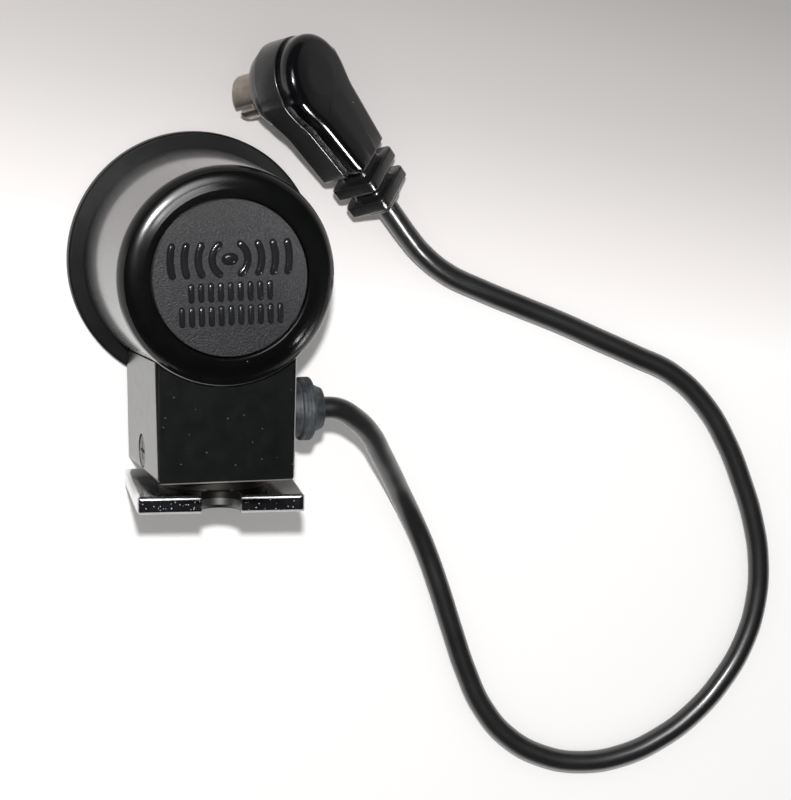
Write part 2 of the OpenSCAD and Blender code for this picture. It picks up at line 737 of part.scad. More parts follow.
module base_plate() {
    color([0.09, 0.09, 0.095]) difference() {
        union() {
            translate([-base_half_w, -block_bottom, block_in_z0 + seat_gap])
                cube([2 * base_half_w, base_t, block_in_z1 - block_in_z0 - 2 * seat_gap]);
            down_from_axis() translate([0, 0, bearing_top])
                cylinder(r = bearing_r, h = bearing_h + base_t / 2);
            for (s = [-1, 1]) translate([s > 0 ? lug_x : -base_half_w, -base_top - base_t / 2,
                                         side_screw_z - lug_w / 2])
                cube([lug_t, lug_len + base_t / 2, lug_w]);
        }
        down_from_axis() translate([0, 0, bearing_top - cut])
            cylinder(r = post_r + swivel_gap, h = block_bottom - bearing_top + 2 * cut);
        translate([-block_top_half_w, -side_screw_at, side_screw_z]) rotate([0, 90, 0])
            cylinder(r = side_screw_r + thread_gap, h = 2 * block_top_half_w, $fn = small_fn);
    }
}

module side_screws() {
    color([0.2, 0.2, 0.21]) for (s = [-1, 1])
        translate([s * side_seat_x, -side_screw_at, side_screw_z]) rotate([0, -s * 90, 0])
            screw(side_screw_r, side_screw_len, side_screw_head_r);
}

module saddle_screws() {
    color([0.75, 0.75, 0.75]) for (z = saddle_screw_z)
        translate([0, seat_gap - barrel_r_at(z) - saddle_r, z]) rotate([-90, 0, 0])
            screw(screw_r, saddle_screw_len, screw_head_r);
}

module switch_board() {
    half = block_bottom_half_w - block_wall - 2 * seat_gap;
    color([0.1, 0.35, 0.16]) translate([-half, -switch_board_at - board_t, switch_board_z])
        cube([2 * half, board_t, switch_board_len]);
}

module switch_parts() {
    under = -switch_board_at - board_t;
    // Two output transistors
    color([0.08, 0.08, 0.08]) for (x = [-4.6, -1])
        translate([x, under - 1.2, switch_board_z + 1]) cube([2.9, 1.2, 2.6]);
    // Resistors
    color([0.75, 0.65, 0.45]) for (x = [2.6, 4])
        translate([x, under - 0.6, switch_board_z + 1.4]) cube([0.9, 0.6, 1.8]);
}

// ---- Cord and what holds it ----

module grommet() {
    groove = 0.12;
    edge = 0.3;
    disc_end = shoulder_x;
    color([0.13, 0.14, 0.16]) along_exit() rotate_extrude() polygon(concat(
        [[cord_r, grommet_in_x], [grommet_inner_r, grommet_in_x],
         [grommet_inner_r, grommet_in_x + grommet_inner_t()],
         [grommet_neck_r, grommet_in_x + grommet_inner_t()], [grommet_neck_r, grommet_wall_x],
         [grommet_base_r, grommet_wall_x], [grommet_base_r, grommet_disc_x]],
        arc([grommet_disc_r - edge, grommet_disc_x + edge], edge, -90, 0),
        // Two ring grooves round the disc
        [for (k = [1, 2], step = [0:3])
            let (z = grommet_disc_x + grommet_disc_len * (k + 0.4) / 4)
            [grommet_disc_r - (step == 1 || step == 2 ? groove : 0), z + (step < 2 ? 0 : groove)]],
        arc([grommet_disc_r - edge, disc_end - edge], edge, 0, 90),
        [[shoulder_r, shoulder_x]],
        arc([shoulder_end_r - edge, exit_x - edge], edge, 0, 90),
        [[cord_r, exit_x]]
    ));
}

module cord_ferrule() {
    color([0.7, 0.68, 0.62]) along_exit() translate([0, 0, grommet_in_x - ferrule_len])
        pipe(ferrule_r, cord_r, ferrule_len);
}

module leads() {
    inner_x = grommet_in_x - ferrule_len;
    fan_x = inner_x / 2;
    solder_z = switch_board_z + switch_board_len - core_pitch;
    board_y = -switch_board_at;
    run_y = board_y + wire_lift / 2;
    // Three cores from the cord to the switch board
    color([0.6, 0.1, 0.1]) for (k = [-1:1]) {
        x = fan_x + k * wire_pitch;
        tube([
            [inner_x, k * core_pitch - exit_at, exit_z],
            [inner_x - core_pitch, k * core_pitch - exit_at, exit_z - core_r / 2],
            [x, k * core_r + core_r - exit_at, exit_z - wire_lift - core_r],
            [x, run_y + core_r, solder_z + wire_lift], [x, run_y, solder_z + core_r],
            [x, board_y + core_r, solder_z], [x, board_y, solder_z]
        ], core_r, core_sides, [1, 0.1, 0]);
    }
    // Two wires from the switch board through the passage to the sensor board
    rise_y = -switch_board_at + wire_lift;
    wall_y = -barrel_rear_r - saddle_r;
    board_end_y = -board_r + wire_lift;
    color([0.15, 0.15, 0.5]) for (k = [-0.5, 0.5]) {
        x = passage_at[0] + k * wire_pitch;
        tube([
            [x, board_y, solder_z], [x, board_y + core_r, solder_z],
            [x, rise_y - core_r, solder_z + core_r], [x, rise_y - core_r / 4, solder_z + wire_lift],
            [x, rise_y, passage_at[1] - wire_lift], [x, wall_y, passage_at[1] - core_r],
            [x, wall_y + wire_lift, passage_at[1]], [x, -barrel_bore_r + wire_lift, passage_at[1]],
            [x, board_end_y - core_r, passage_at[1] - core_r],
            [x, board_end_y, board_top + wire_lift / 2], [x, board_end_y, board_top]
        ], core_r, core_sides, [1, 0, 0]);
    }
}

module cord() {
    color([0.05, 0.05, 0.05]) tube(cord_route, cord_r, cord_sides);
}

// ---- Plug, drawn with its head's centre at the origin, its sleeve down and its cord along +X ----

// Outline of the tapering body behind the round head, drawn in by an inset
module plug_body_outline(inset) {
    end_y = plug_end_w / 2 - inset;
    waist_y = plug_waist_w / 2 - inset;
    polygon([[0, -waist_y], [plug_len - inset, -end_y], [plug_len - inset, end_y], [0, waist_y]]);
}

module plug_outline(inset) {
    circle(r = plug_head_r - inset);
    plug_body_outline(inset);
}

module plug_cavity() {
    translate([0, 0, -sleeve_seat]) linear_extrude(2 * sleeve_seat) plug_outline(plug_wall);
    translate([plug_len - plug_wall - cut, 0, 0]) rotate([90, 0, 90]) linear_extrude(plug_wall + 2 * cut)
        square(boot_neck + 2 * [press_gap, press_gap], center = true);
}

module plug_upper_shell() {
    straight = plug_t / 2 - plug_round;
    color([0.04, 0.04, 0.04]) on_plug() difference() {
        union() {
            hull() rotate_extrude($fn = small_fn) polygon(concat(
                [[0, plug_seam], [plug_head_r, plug_seam]],
                arc([plug_head_r - plug_round, straight], plug_round, 0, 90),
                [[0, plug_t / 2]]
            ));
            hull() {
                translate([0, 0, plug_seam]) linear_extrude(straight - plug_seam) plug_body_outline(0);
                for (a = [15:15:90])
                    translate([0, 0, straight]) linear_extrude(plug_round * sin(a))
                        plug_body_outline(plug_round * (1 - cos(a)));
            }
        }
        plug_cavity();
    }
}

module plug_lower_shell() {
    low = -plug_t / 2;
    color([0.12, 0.12, 0.12]) on_plug() difference() {
        union() {
            translate([0, 0, low]) linear_extrude(plug_seam - low) plug_outline(-plug_proud);
            translate([0, 0, low - plug_cone_len])
                cylinder(r1 = plug_cone_r, r2 = plug_head_r, h = plug_cone_len);
        }
        plug_cavity();
        translate([0, 0, low - plug_cone_len - cut])
            cylinder(r = sleeve_r + thread_gap, h = plug_cone_len + plug_wall + 2 * cut);
    }
}

module rib_box(x, w, depth) {
    translate([x, 0, 0]) rotate([90, 0, 90]) linear_extrude(rib_t)
        polygon(round_rect([w / 2, depth / 2], rib_round));
}

module plug_boot() {
    in_x = plug_len - plug_wall - seat_gap;
    color([0.06, 0.06, 0.06]) on_plug() difference() {
        union() {
            translate([in_x, 0, 0]) rotate([90, 0, 90]) linear_extrude(boot_x - in_x)
                polygon(round_rect(boot_neck / 2, rib_round));
            for (i = [0, 1]) rib_box(rib_x[i], rib_w[i], rib_depth[i]);
        }
        translate([in_x - cut, 0, 0]) rotate([0, 90, 0])
            cylinder(r = cord_r, h = boot_x - in_x + 2 * cut, $fn = small_fn);
    }
}

module plug_sleeve() {
    collar_h = 0.6;
    color([0.6, 0.57, 0.5]) on_plug() difference() {
        union() {
            translate([0, 0, -sleeve_tip]) cylinder(r = sleeve_r, h = sleeve_tip - sleeve_seat + collar_h);
            translate([0, 0, -sleeve_seat]) cylinder(r = sleeve_r + collar_h, h = collar_h);
        }
        translate([0, 0, -sleeve_tip - cut])
            cylinder(r = sleeve_r - sleeve_wall, h = sleeve_tip + 2 * cut);
        translate([-sleeve_slot / 2, -sleeve_r - cut, -sleeve_tip - cut])
            cube([sleeve_slot, 2 * (sleeve_r + cut), sleeve_slot_len + cut]);
    }
}

module at_pins() {
    for (a = [90, 210, 330]) rotate([0, 0, a]) translate([pin_at, 0, 0]) children();
}

module plug_insulator() {
    bottom = -sleeve_tip + insulator_sink;
    color([0.85, 0.83, 0.75]) on_plug() difference() {
        translate([0, 0, bottom])
            cylinder(r = sleeve_r - sleeve_wall - thread_gap, h = -bottom - sleeve_seat + plug_wall);
        at_pins() translate([0, 0, bottom - cut])
            cylinder(r = pin_r + thread_gap, h = sleeve_tip, $fn = small_fn);
    }
}

module plug_pins() {
    bottom = -sleeve_tip + insulator_sink / 2;
    color([0.8, 0.7, 0.4]) on_plug() at_pins() translate([0, 0, bottom])
        cylinder(r = pin_r, h = -bottom - sleeve_seat + plug_wall + 0.6, $fn = small_fn);
}

module plug_cores() {
    solder_z = plug_wall - sleeve_seat + 0.6;
    start_x = plug_len - plug_wall - cord_d / 2;
    color([0.6, 0.1, 0.1]) on_plug() for (a = [90, 210, 330]) {
        pin = pin_at * [cos(a), sin(a)];
        over = solder_z + 1.3 - 0.45 * cos(a);
        tube([
            [start_x, 0.75 * sin(a), -0.75 * cos(a)], [start_x - 2, 0.8 * sin(a), 0.6 - 0.5 * cos(a)],
            [pin.x + 1.4, pin.y, over], [pin.x + 0.5, pin.y, over - 0.2], [pin.x, pin.y, over - 0.7],
            [pin.x, pin.y, solder_z]
        ], core_r, core_sides, [0, 1, 0]);
    }
}

// ---- Swivelling foot, drawn from the swivel's axis ----

module foot_frame() {
    translate([0, 0, swivel_z]) rotate([0, foot_turn, 0]) children();
}

// Section of the plate: flat bevels above, rounded edges below; x across, y down from the axis
function foot_section(half) = concat(
    [[-half, -foot_top - foot_bevel], [foot_bevel - half, -foot_top], [half - foot_bevel, -foot_top],
     [half, -foot_top - foot_bevel]],
    arc([half - foot_round, foot_round - foot_bottom], foot_round, 0, -90),
    arc([foot_round - half, foot_round - foot_bottom], foot_round, -90, -180)
);

module foot_plate() {
    color([0.78, 0.78, 0.8]) foot_frame() difference() {
        union() {
            intersection() {
                translate([0, 0, -foot_len / 2]) linear_extrude(foot_len)
                    polygon(foot_section(foot_w / 2));
                translate([-foot_w / 2, 0, 0]) rotate([0, 90, 0]) linear_extrude(foot_w)
                    polygon(foot_section(foot_len / 2));
                rotate([90, 0, 0]) linear_extrude(foot_bottom + cut)
                    polygon(round_rect([foot_w / 2, foot_len / 2], foot_corner));
            }
            rotate([90, 0, 0]) translate([0, 0, block_bottom + swivel_gap])
                cylinder(r = foot_boss_r, h = foot_gap + foot_t / 2 - swivel_gap);
        }
        // Notch with a round end in the front edge
        rotate([90, 0, 0]) translate([0, foot_len / 2 - notch_depth + notch_w / 2, foot_top]) {
            cylinder(r = notch_w / 2, h = foot_t + cut);
            translate([-notch_w / 2, 0, 0]) cube([notch_w, notch_depth + cut, foot_t + cut]);
        }
        rotate([90, 0, 0]) translate([0, 0, block_bottom - cut])
            cylinder(r = post_r + thread_gap, h = foot_gap + foot_t + 2 * cut);
        rotate([90, 0, 0]) translate([0, 0, foot_bottom - foot_t / 2])
            cylinder(r = post_head_r + thread_gap, h = foot_t / 2 + cut);
    }
}

module swivel_post() {
    color([0.65, 0.65, 0.66]) down_from_axis() rotate_extrude() polygon([
        [0, post_top], [post_r, post_top], [post_r, clip_top], [post_r - groove_depth, clip_top],
        [post_r - groove_depth, spring_top], [post_r, spring_top],
        [post_r, foot_bottom - foot_t / 2 + thread_gap],
        [post_head_r, foot_bottom - foot_t / 2 + thread_gap], [post_head_r, foot_bottom - seat_gap],
        [0, foot_bottom - seat_gap]
    ]);
}

module friction_washer() {
    color([0.35, 0.25, 0.18]) down_from_axis() translate([0, 0, washer_top])
        pipe(washer_r, post_r + thread_gap, washer_t - thread_gap);
}

module disc_spring() {
    inner = post_r + 2 * thread_gap;
    bottom = washer_top - thread_gap;
    top = spring_top + thread_gap;
    color([0.45, 0.45, 0.47]) down_from_axis() rotate_extrude() polygon([
        [spring_r, bottom], [spring_r, bottom - spring_t], [inner, top], [inner, top + spring_t]
    ]);
}

module retaining_clip() {
    gap_w = 2 * (post_r - groove_depth) * 0.75;
    color([0.5, 0.5, 0.52]) down_from_axis() translate([0, 0, clip_top + thread_gap]) difference() {
        pipe(clip_r, post_r - groove_depth + thread_gap, clip_t - 2 * thread_gap);
        translate([-gap_w / 2, 0, -cut]) cube([gap_w, clip_r + cut, clip_t + 2 * cut]);
    }
}

barrel_shell();
name_disc();
rear_bezel();
filter_window();
window_ring();
diode_hood();
photodiode();
sensor_board();
board_screws();
shield_can();
board_parts();
housing_block();
base_plate();
side_screws();
saddle_screws();
switch_board();
switch_parts();
grommet();
cord_ferrule();
leads();
cord();
plug_upper_shell();
plug_lower_shell();
plug_boot();
plug_sleeve();
plug_insulator();
plug_pins();
plug_cores();
foot_plate();
swivel_post();
friction_washer();
disc_spring();
retaining_clip();
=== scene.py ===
import math

import bmesh
import bpy
from mathutils import Euler, Matrix, Vector


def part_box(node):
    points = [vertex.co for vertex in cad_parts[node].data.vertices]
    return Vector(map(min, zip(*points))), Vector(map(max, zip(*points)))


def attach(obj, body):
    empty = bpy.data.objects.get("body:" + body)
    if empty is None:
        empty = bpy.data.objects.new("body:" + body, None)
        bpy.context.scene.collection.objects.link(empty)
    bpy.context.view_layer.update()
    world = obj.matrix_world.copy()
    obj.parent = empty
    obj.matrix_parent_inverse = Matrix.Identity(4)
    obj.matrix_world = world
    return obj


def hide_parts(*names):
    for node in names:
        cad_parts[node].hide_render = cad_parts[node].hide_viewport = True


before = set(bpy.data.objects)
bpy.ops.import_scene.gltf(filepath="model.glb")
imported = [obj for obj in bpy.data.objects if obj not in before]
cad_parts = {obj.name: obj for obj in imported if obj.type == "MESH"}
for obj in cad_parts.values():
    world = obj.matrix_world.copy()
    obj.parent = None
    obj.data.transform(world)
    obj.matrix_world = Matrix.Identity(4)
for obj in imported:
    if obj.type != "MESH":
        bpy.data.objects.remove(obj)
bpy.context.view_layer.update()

# ---- Camera ----
# It stands a third of a metre above the part, a little to its left, and looks down
# on the face of the barrel.
camera = bpy.data.objects.new("camera", bpy.data.cameras.new("camera"))
bpy.context.scene.collection.objects.link(camera)
film_width, view_width, lens_in_pixels = 36, 791, 3100
camera.data.sensor_fit = "HORIZONTAL"
camera.data.sensor_width = film_width
camera.data.lens = film_width * lens_in_pixels / view_width
camera.data.clip_start = 0.02
stand_point = (-0.07279, 0.03985, 0.34975)
to_right = Vector((0.96368, 0.00976, 0.26690))
to_top = Vector((0.03236, 0.98770, -0.15298))
towards_viewer = Vector((-0.26511, 0.15606, 0.95151))
camera.matrix_world = (
    Matrix.Translation(stand_point)
    @ Matrix((to_right, to_top, towards_viewer)).transposed().to_4x4()
)
bpy.context.scene.camera = camera

# ---- Plug ----
# A right-angled plug: a glossy top cover on a duller lower moulding, a ribbed boot
# around the cord, and a split metal sleeve that springs into the camera's socket.
plug_centre = Vector((0.0111, 0.0206, 0.007802))
plug_turn = Euler([math.radians(a) for a in (-40, 12.8745, -52.5)], "XYZ").to_matrix()
millimetre = 0.001


def on_plug(x, y=0.0, z=0.0):
    """A point given in millimetres from the middle of the plug's head, where the plug lies."""
    return plug_centre + plug_turn @ (Vector((x, y, z)) * millimetre)


# Millimetres: the round head, the body with its half-widths at each end, and the height
# of the seam between the two mouldings over the middle of the plug.
head_r, body_len, waist, end = 5.1, 11.8, 4.75, 3.5
seam, half_thick = 0.35, 2.85
tail_corner, neck_blend = 0.45, 1.3


def plug_edge(x, y, longer=0.0):
    """How far a point in the plug's outline lies outside it, in millimetres: a round head
    and a tapered body, run together with a soft corner."""
    head = math.hypot(x, y) - head_r
    y = abs(y)
    slope = math.hypot(body_len, waist - end)
    flank = ((y - waist) * body_len + x * (waist - end)) / slope + tail_corner
    tail = x - body_len - longer + tail_corner
    outside = math.hypot(max(flank, 0.0), max(tail, 0.0))
    body = max(min(max(flank, tail), 0.0) + outside - tail_corner, -x)
    share = max(neck_blend - abs(head - body), 0.0) / neck_blend
    return min(head, body) - share * share * neck_blend / 4


ray_start, past_the_plug, halvings = 2.5, 14.0, 34


def outline_at(inset, bearings, longer=0.0):
    """Where rays from inside the plug cross its outline, drawn in by inset. A body made
    longer by nearly as much keeps its square end."""
    points = []
    for a in bearings:
        near, far = 0.0, past_the_plug
        for _ in range(halvings):
            middle = (near + far) / 2
            if plug_edge(ray_start + middle * math.cos(a), middle * math.sin(a), longer) < -inset:
                near = middle
            else:
                far = middle
        points.append((ray_start + near * math.cos(a), near * math.sin(a)))
    return points


def lofted(name, rings, close_first, close_last):
    """A skin through rings of points, all with the same count, set where the plug lies."""
    bm = bmesh.new()
    loops = [[bm.verts.new(on_plug(*p)) for p in ring] for ring in rings]
    count = len(loops[0])
    for one, two in zip(loops, loops[1:]):
        for k in range(count):
            bm.faces.new((one[k], one[(k + 1) % count], two[(k + 1) % count], two[k]))
    if close_first:
        bm.faces.new(list(reversed(loops[0])))
    if close_last:
        bm.faces.new(loops[-1])
    bmesh.ops.recalc_face_normals(bm, faces=bm.faces)
    skin_mesh = bpy.data.meshes.new(name)
    bm.to_mesh(skin_mesh)
    bm.free()
    for face in skin_mesh.polygons:
        face.use_smooth = len(face.vertices) == 4
    made = bpy.data.objects.new(name, skin_mesh)
    bpy.context.scene.collection.objects.link(made)
    return made


bearings = [math.radians(k * 2.0) for k in range(180)]
cover_round, square_tail = 1.0, 0.9
cover_rings = [[(x, y, seam) for x, y in outline_at(0, bearings)]]
quarter = [math.radians(7.5 * k) for k in range(13)]
cover_profile = [(cover_round * (1 - math.cos(a)),
                  half_thick - cover_round + cover_round * math.sin(a)) for a in quarter]
# Past the rounded edge the top is crowned a little.
for inset, rise in ((1.6, 0.02), (2.2, 0.045), (2.9, 0.06)):
    cover_profile.append((inset, half_thick + rise))
for inset, z in cover_profile:
    cover_rings.append([(x, y, z) for x, y in outline_at(inset, bearings, square_tail * inset)])
plug_cover = lofted("plug_cover", cover_rings, True, True)


def add(tree, kind, sockets=(), **settings):
    """A shader node. sockets gives each input a value or another node's output."""
    made = tree.nodes.new("ShaderNode" + kind)
    for name, value in settings.items():
        setattr(made, name, value)
    for key, value in dict(sockets).items():
        if isinstance(value, bpy.types.NodeSocket):
            tree.links.new(value, made.inputs[key])
        else:
            made.inputs[key].default_value = value
    return made


def geometry_normal(tree):
    return tree.nodes.new("ShaderNodeNewGeometry").outputs["Normal"]


def effect(name, takes, gives):
    """A shader node group with named inputs and outputs, and its two end nodes."""
    group = bpy.data.node_groups.new(name, "ShaderNodeTree")
    for label, value in takes:
        kind = "NodeSocketVector" if label == "Vector" else "NodeSocketFloat"
        socket = group.interface.new_socket(label, in_out="INPUT", socket_type=kind)
        if label != "Vector":
            socket.default_value = value
    for label in gives:
        kind = "NodeSocketVector" if label == "Normal" else "NodeSocketFloat"
        group.interface.new_socket(label, in_out="OUTPUT", socket_type=kind)
    return group, group.nodes.new("NodeGroupInput"), group.nodes.new("NodeGroupOutput")


def use(tree, group, sockets=()):
    """One effect placed in a material, with its own values."""
    return add(tree, "Group", sockets, node_tree=group)


def finish_of(name, **plain):
    """A new material: its node tree, its Principled shader, and a point on the piece."""
    made = bpy.data.materials.new(name)
    made.use_nodes = True
    tree = made.node_tree
    tree.nodes.clear()
    out = tree.nodes.new("ShaderNodeOutputMaterial")
    shader = tree.nodes.new("ShaderNodeBsdfPrincipled")
    tree.links.new(shader.outputs["BSDF"], out.inputs["Surface"])
    for key, value in plain.items():
        shader.inputs[key.replace("_", " ")].default_value = value
    spot = tree.nodes.new("ShaderNodeTexCoord").outputs["Object"]
    return made, tree, shader, spot


def math_of(tree, operation, a, b=0.0, clamp=False):
    return add(tree, "Math", {0: a, 1: b}, operation=operation, use_clamp=clamp).outputs[0]


def between(tree, factor, low, high):
    """low where the factor is 0, high where it is 1."""
    return add(tree, "MapRange", {"Value": factor, "To Min": low, "To Max": high}).outputs[0]


def two_colours(tree, factor, first, second):
    mix = add(tree, "Mix", {0: factor}, data_type="RGBA")
    for socket, value in ((mix.inputs[6], first), (mix.inputs[7], second)):
        if isinstance(value, bpy.types.NodeSocket):
            tree.links.new(value, socket)
        else:
            socket.default_value = (*value, 1)
    return mix.outputs[2]


def either(tree, factor, first, second):
    """One of two normals: the first where the factor is 0, the second where it is 1."""
    return add(tree, "Mix", {0: factor, 4: first, 5: second}, data_type="VECTOR").outputs[1]


def relief(tree, shader, height, distance, strength=1.0, over=None):
    """Feeds a height through a Bump node into the shader's normal."""
    bump = add(tree, "Bump", {"Height": height, "Distance": distance, "Strength": strength})
    if over is not None:
        tree.links.new(over, bump.inputs["Normal"])
    tree.links.new(bump.outputs[0], shader.inputs["Normal"])


# Grain of a moulded surface: Size is the grain's width in millimetres.
grain, g_in, g_out = effect("moulded_grain", [("Vector", 0), ("Size", 0.2)], ["Height", "Shade"])
per_metre, broad_share = 1000, 0.07
g_scale = math_of(grain, "DIVIDE", per_metre, g_in.outputs["Size"])
g_fine = add(grain, "TexNoise", {"Vector": g_in.outputs["Vector"], "Scale": g_scale,
                                 "Detail": 3.0, "Roughness": 0.6})
g_broad = add(grain, "TexNoise", {"Vector": g_in.outputs["Vector"], "Detail": 2.0,
                                  "Scale": math_of(grain, "MULTIPLY", g_scale, broad_share)})
grain.links.new(g_fine.outputs["Fac"], g_out.inputs["Height"])
grain.links.new(g_broad.outputs["Fac"], g_out.inputs["Shade"])

# Dust: pale specks, Spacing millimetres apart, on the given Share of the places.
dust, d_in, d_out = effect(
    "stray_dust", [("Vector", 0), ("Spacing", 2.0), ("Share", 0.3), ("Speck", 0.05)], ["Mask"]
)
d_scale = math_of(dust, "DIVIDE", per_metre, d_in.outputs["Spacing"])
d_cells = add(dust, "TexVoronoi", {"Vector": d_in.outputs["Vector"], "Scale": d_scale})
d_width = math_of(dust, "DIVIDE", d_in.outputs["Speck"], d_in.outputs["Spacing"])
d_near = math_of(dust, "LESS_THAN", d_cells.outputs["Distance"], d_width)
d_split = add(dust, "SeparateColor", {0: d_cells.outputs["Color"]})
d_pick = math_of(dust, "LESS_THAN", d_split.outputs[0], d_in.outputs["Share"])
dust.links.new(math_of(dust, "MULTIPLY", d_near, d_pick), d_out.inputs["Mask"])

# Edges: a normal that rolls over each corner, and a mask of the corner that it rolls over.
edges, e_in, e_out = effect("eased_edges", [("Radius", 0.2), ("Share", 1.0)], ["Normal", "Edge"])
edge_contrast = 4
e_radius = math_of(edges, "MULTIPLY", e_in.outputs["Radius"], millimetre)
e_roll = add(edges, "Bevel", {"Radius": e_radius}, samples=6).outputs[0]
e_true = geometry_normal(edges)
e_dot = add(edges, "VectorMath", {0: e_roll, 1: e_true}, operation="DOT_PRODUCT").outputs["Value"]
edges.links.new(either(edges, e_in.outputs["Share"], e_true, e_roll), e_out.inputs["Normal"])
e_bent = math_of(edges, "MULTIPLY", math_of(edges, "SUBTRACT", 1, e_dot), edge_contrast, clamp=True)
edges.links.new(math_of(edges, "MULTIPLY", e_bent, e_in.outputs["Share"]), e_out.inputs["Edge"])

plug_gloss, tree, shader, spot = finish_of(
    "plug_gloss", Coat_Weight=0.6, Coat_Roughness=0.16, Specular_IOR_Level=0.25
)
skin = use(tree, grain, {"Vector": spot, "Size": 0.35})
lint = use(tree, dust, {"Vector": spot, "Spacing": 2.4, "Share": 0.3, "Speck": 0.06})
tone = two_colours(tree, skin.outputs["Shade"], (0.002, 0.0022, 0.0026), (0.004, 0.0043, 0.005))
tree.links.new(two_colours(tree, lint.outputs["Mask"], tone, (0.4, 0.39, 0.38)),
               shader.inputs["Base Color"])
tree.links.new(between(tree, skin.outputs["Shade"], 0.12, 0.18), shader.inputs["Roughness"])
relief(tree, shader, skin.outputs["Height"], 0.000012, 0.5)
plug_cover.data.materials.append(plug_gloss)
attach(plug_cover, "head")
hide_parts("plug_upper_shell")

# The lower moulding stands a little proud of the cover, so its rim catches the light.
proud, rim_round, foot_round, under_cover, floor_inset = 0.14, 0.14, 0.3, 0.3, 2.2
base_rings = [[(x, y, seam) for x, y in outline_at(under_cover, bearings)]]
for k in range(5):
    a = math.radians(90 - 22.5 * k)
    base_rings.append([(x, y, seam - rim_round + rim_round * math.sin(a))
                       for x, y in outline_at(rim_round * (1 - math.cos(a)) - proud, bearings)])
for k in range(5):
    a = math.radians(22.5 * k)
    base_rings.append([(x, y, foot_round - half_thick - foot_round * math.sin(a))
                       for x, y in outline_at(foot_round * (1 - math.cos(a)) - proud, bearings)])
base_rings.append([(x, y, -half_thick) for x, y in outline_at(floor_inset, bearings)])
plug_base = lofted("plug_base", base_rings, True, True)
# The cone under the head, down its side, across its face and up into the sleeve's bore.
cone_profile = ((5.12, -2.5), (5.1, -2.85), (4.32, -4.15), (4.24, -4.26), (4.1, -4.33),
                (3.9, -4.35), (2.75, -4.35), (2.62, -4.3), (2.6, -4.2), (2.6, -2.6))
turns = [math.radians(k * 5.0) for k in range(72)]
cone_rings = [[(r * math.cos(a), r * math.sin(a), z) for a in turns] for r, z in cone_profile]
plug_nose = lofted("plug_nose", cone_rings, False, False)

plug_matt, tree, shader, spot = finish_of("plug_matt", Coat_Weight=0.7, Coat_Roughness=0.2)
skin = use(tree, grain, {"Vector": spot, "Size": 0.16})
flash_line = add(tree, "TexNoise", {"Vector": spot, "Scale": 2600.0, "Detail": 1.0})
tree.links.new(two_colours(tree, skin.outputs["Shade"], (0.01, 0.01, 0.011), (0.022, 0.022, 0.023)),
               shader.inputs["Base Color"])
tree.links.new(between(tree, skin.outputs["Height"], 0.3, 0.44), shader.inputs["Roughness"])
uneven = math_of(tree, "MULTIPLY", flash_line.outputs["Fac"], 1.5)
relief(tree, shader, math_of(tree, "ADD", skin.outputs["Height"], uneven), 0.00003, 0.7)
for made in (plug_base, plug_nose):
    made.data.materials.append(plug_matt)
    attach(made, "head")
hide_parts("plug_lower_shell")

# The boot is one soft moulding: a neck with two thick ribs that let the cord bend.
neck, root = (2.2, 1.7, 0.7), (2.4, 1.9, 0.8)    # half-width, half-height and corner
tip_corner = 0.9
lip, rib_corner, neck_start, root_run = 0.22, 0.75, 11.2, 0.15


def box_ring(x, half_w, half_h, corner):
    """A rounded rectangle across the cord, at a distance from the plug's head."""
    ring = []
    for cx, cy, start in ((1, 1, 0), (-1, 1, 90), (-1, -1, 180), (1, -1, 270)):
        for k in range(9):
            a = math.radians(start + 90 * k / 8)
            ring.append((x, cx * (half_w - corner) + corner * math.cos(a),
                         cy * (half_h - corner) + corner * math.sin(a)))
    return ring


rib_rings = [box_ring(neck_start, *neck)]
for x0, x1, half_w, half_h in ((13.15, 14.6, 3.5, 2.9), (15.95, 17.4, 3.4, 2.75)):
    rib_rings += [box_ring(x0 - root_run, *neck), box_ring(x0, *root)]
    for face, inward, angles in ((x0, 1, range(0, 108, 18)), (x1, -1, range(90, -18, -18))):
        for a in [math.radians(degrees) for degrees in angles]:
            cut_in = lip * (1 - math.sin(a))
            rib_rings.append(box_ring(face + inward * lip * (1 - math.cos(a)), half_w - cut_in,
                                      half_h - cut_in, rib_corner - cut_in * 0.6))
    rib_rings += [box_ring(x1, *root), box_ring(x1 + root_run, *neck)]
for x, drawn_in in ((18.2, 0.0), (18.45, 0.1), (18.58, 0.3), (18.6, 0.6)):
    rib_rings.append(box_ring(x, neck[0] - drawn_in, neck[1] - drawn_in * 0.6,
                              tip_corner - drawn_in * 0.5))
plug_boot = lofted("plug_boot_rubber", rib_rings, True, True)


def grained(name, size, dark, light, smooth, rough, by="Shade", bump=None, **plain):
    """A finish of two tones and two roughnesses over one grain. bump is a depth and a strength."""
    made, tree, shader, spot = finish_of(name, **plain)
    skin = use(tree, grain, {"Vector": spot, "Size": size})
    tone = two_colours(tree, skin.outputs["Shade"], dark, light)
    tree.links.new(tone, shader.inputs["Base Color"])
    tree.links.new(between(tree, skin.outputs[by], smooth, rough), shader.inputs["Roughness"])
    if bump:
        relief(tree, shader, skin.outputs["Height"], *bump)
    return made


boot_black = grained("boot_black", 0.35, (0.007, 0.007, 0.0075), (0.018, 0.018, 0.019), 0.18, 0.36,
                     bump=(0.00005, 0.7), Coat_Weight=0.7, Coat_Roughness=0.16)
plug_boot.data.materials.append(boot_black)
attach(plug_boot, "head")
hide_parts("plug_boot")


def dress(made, *names):
    """Gives solids of the part one material."""
    for name in names:
        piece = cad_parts[name]
        if not piece.material_slots:
            piece.data.materials.append(made)
        for held in piece.material_slots:
            held.material = made


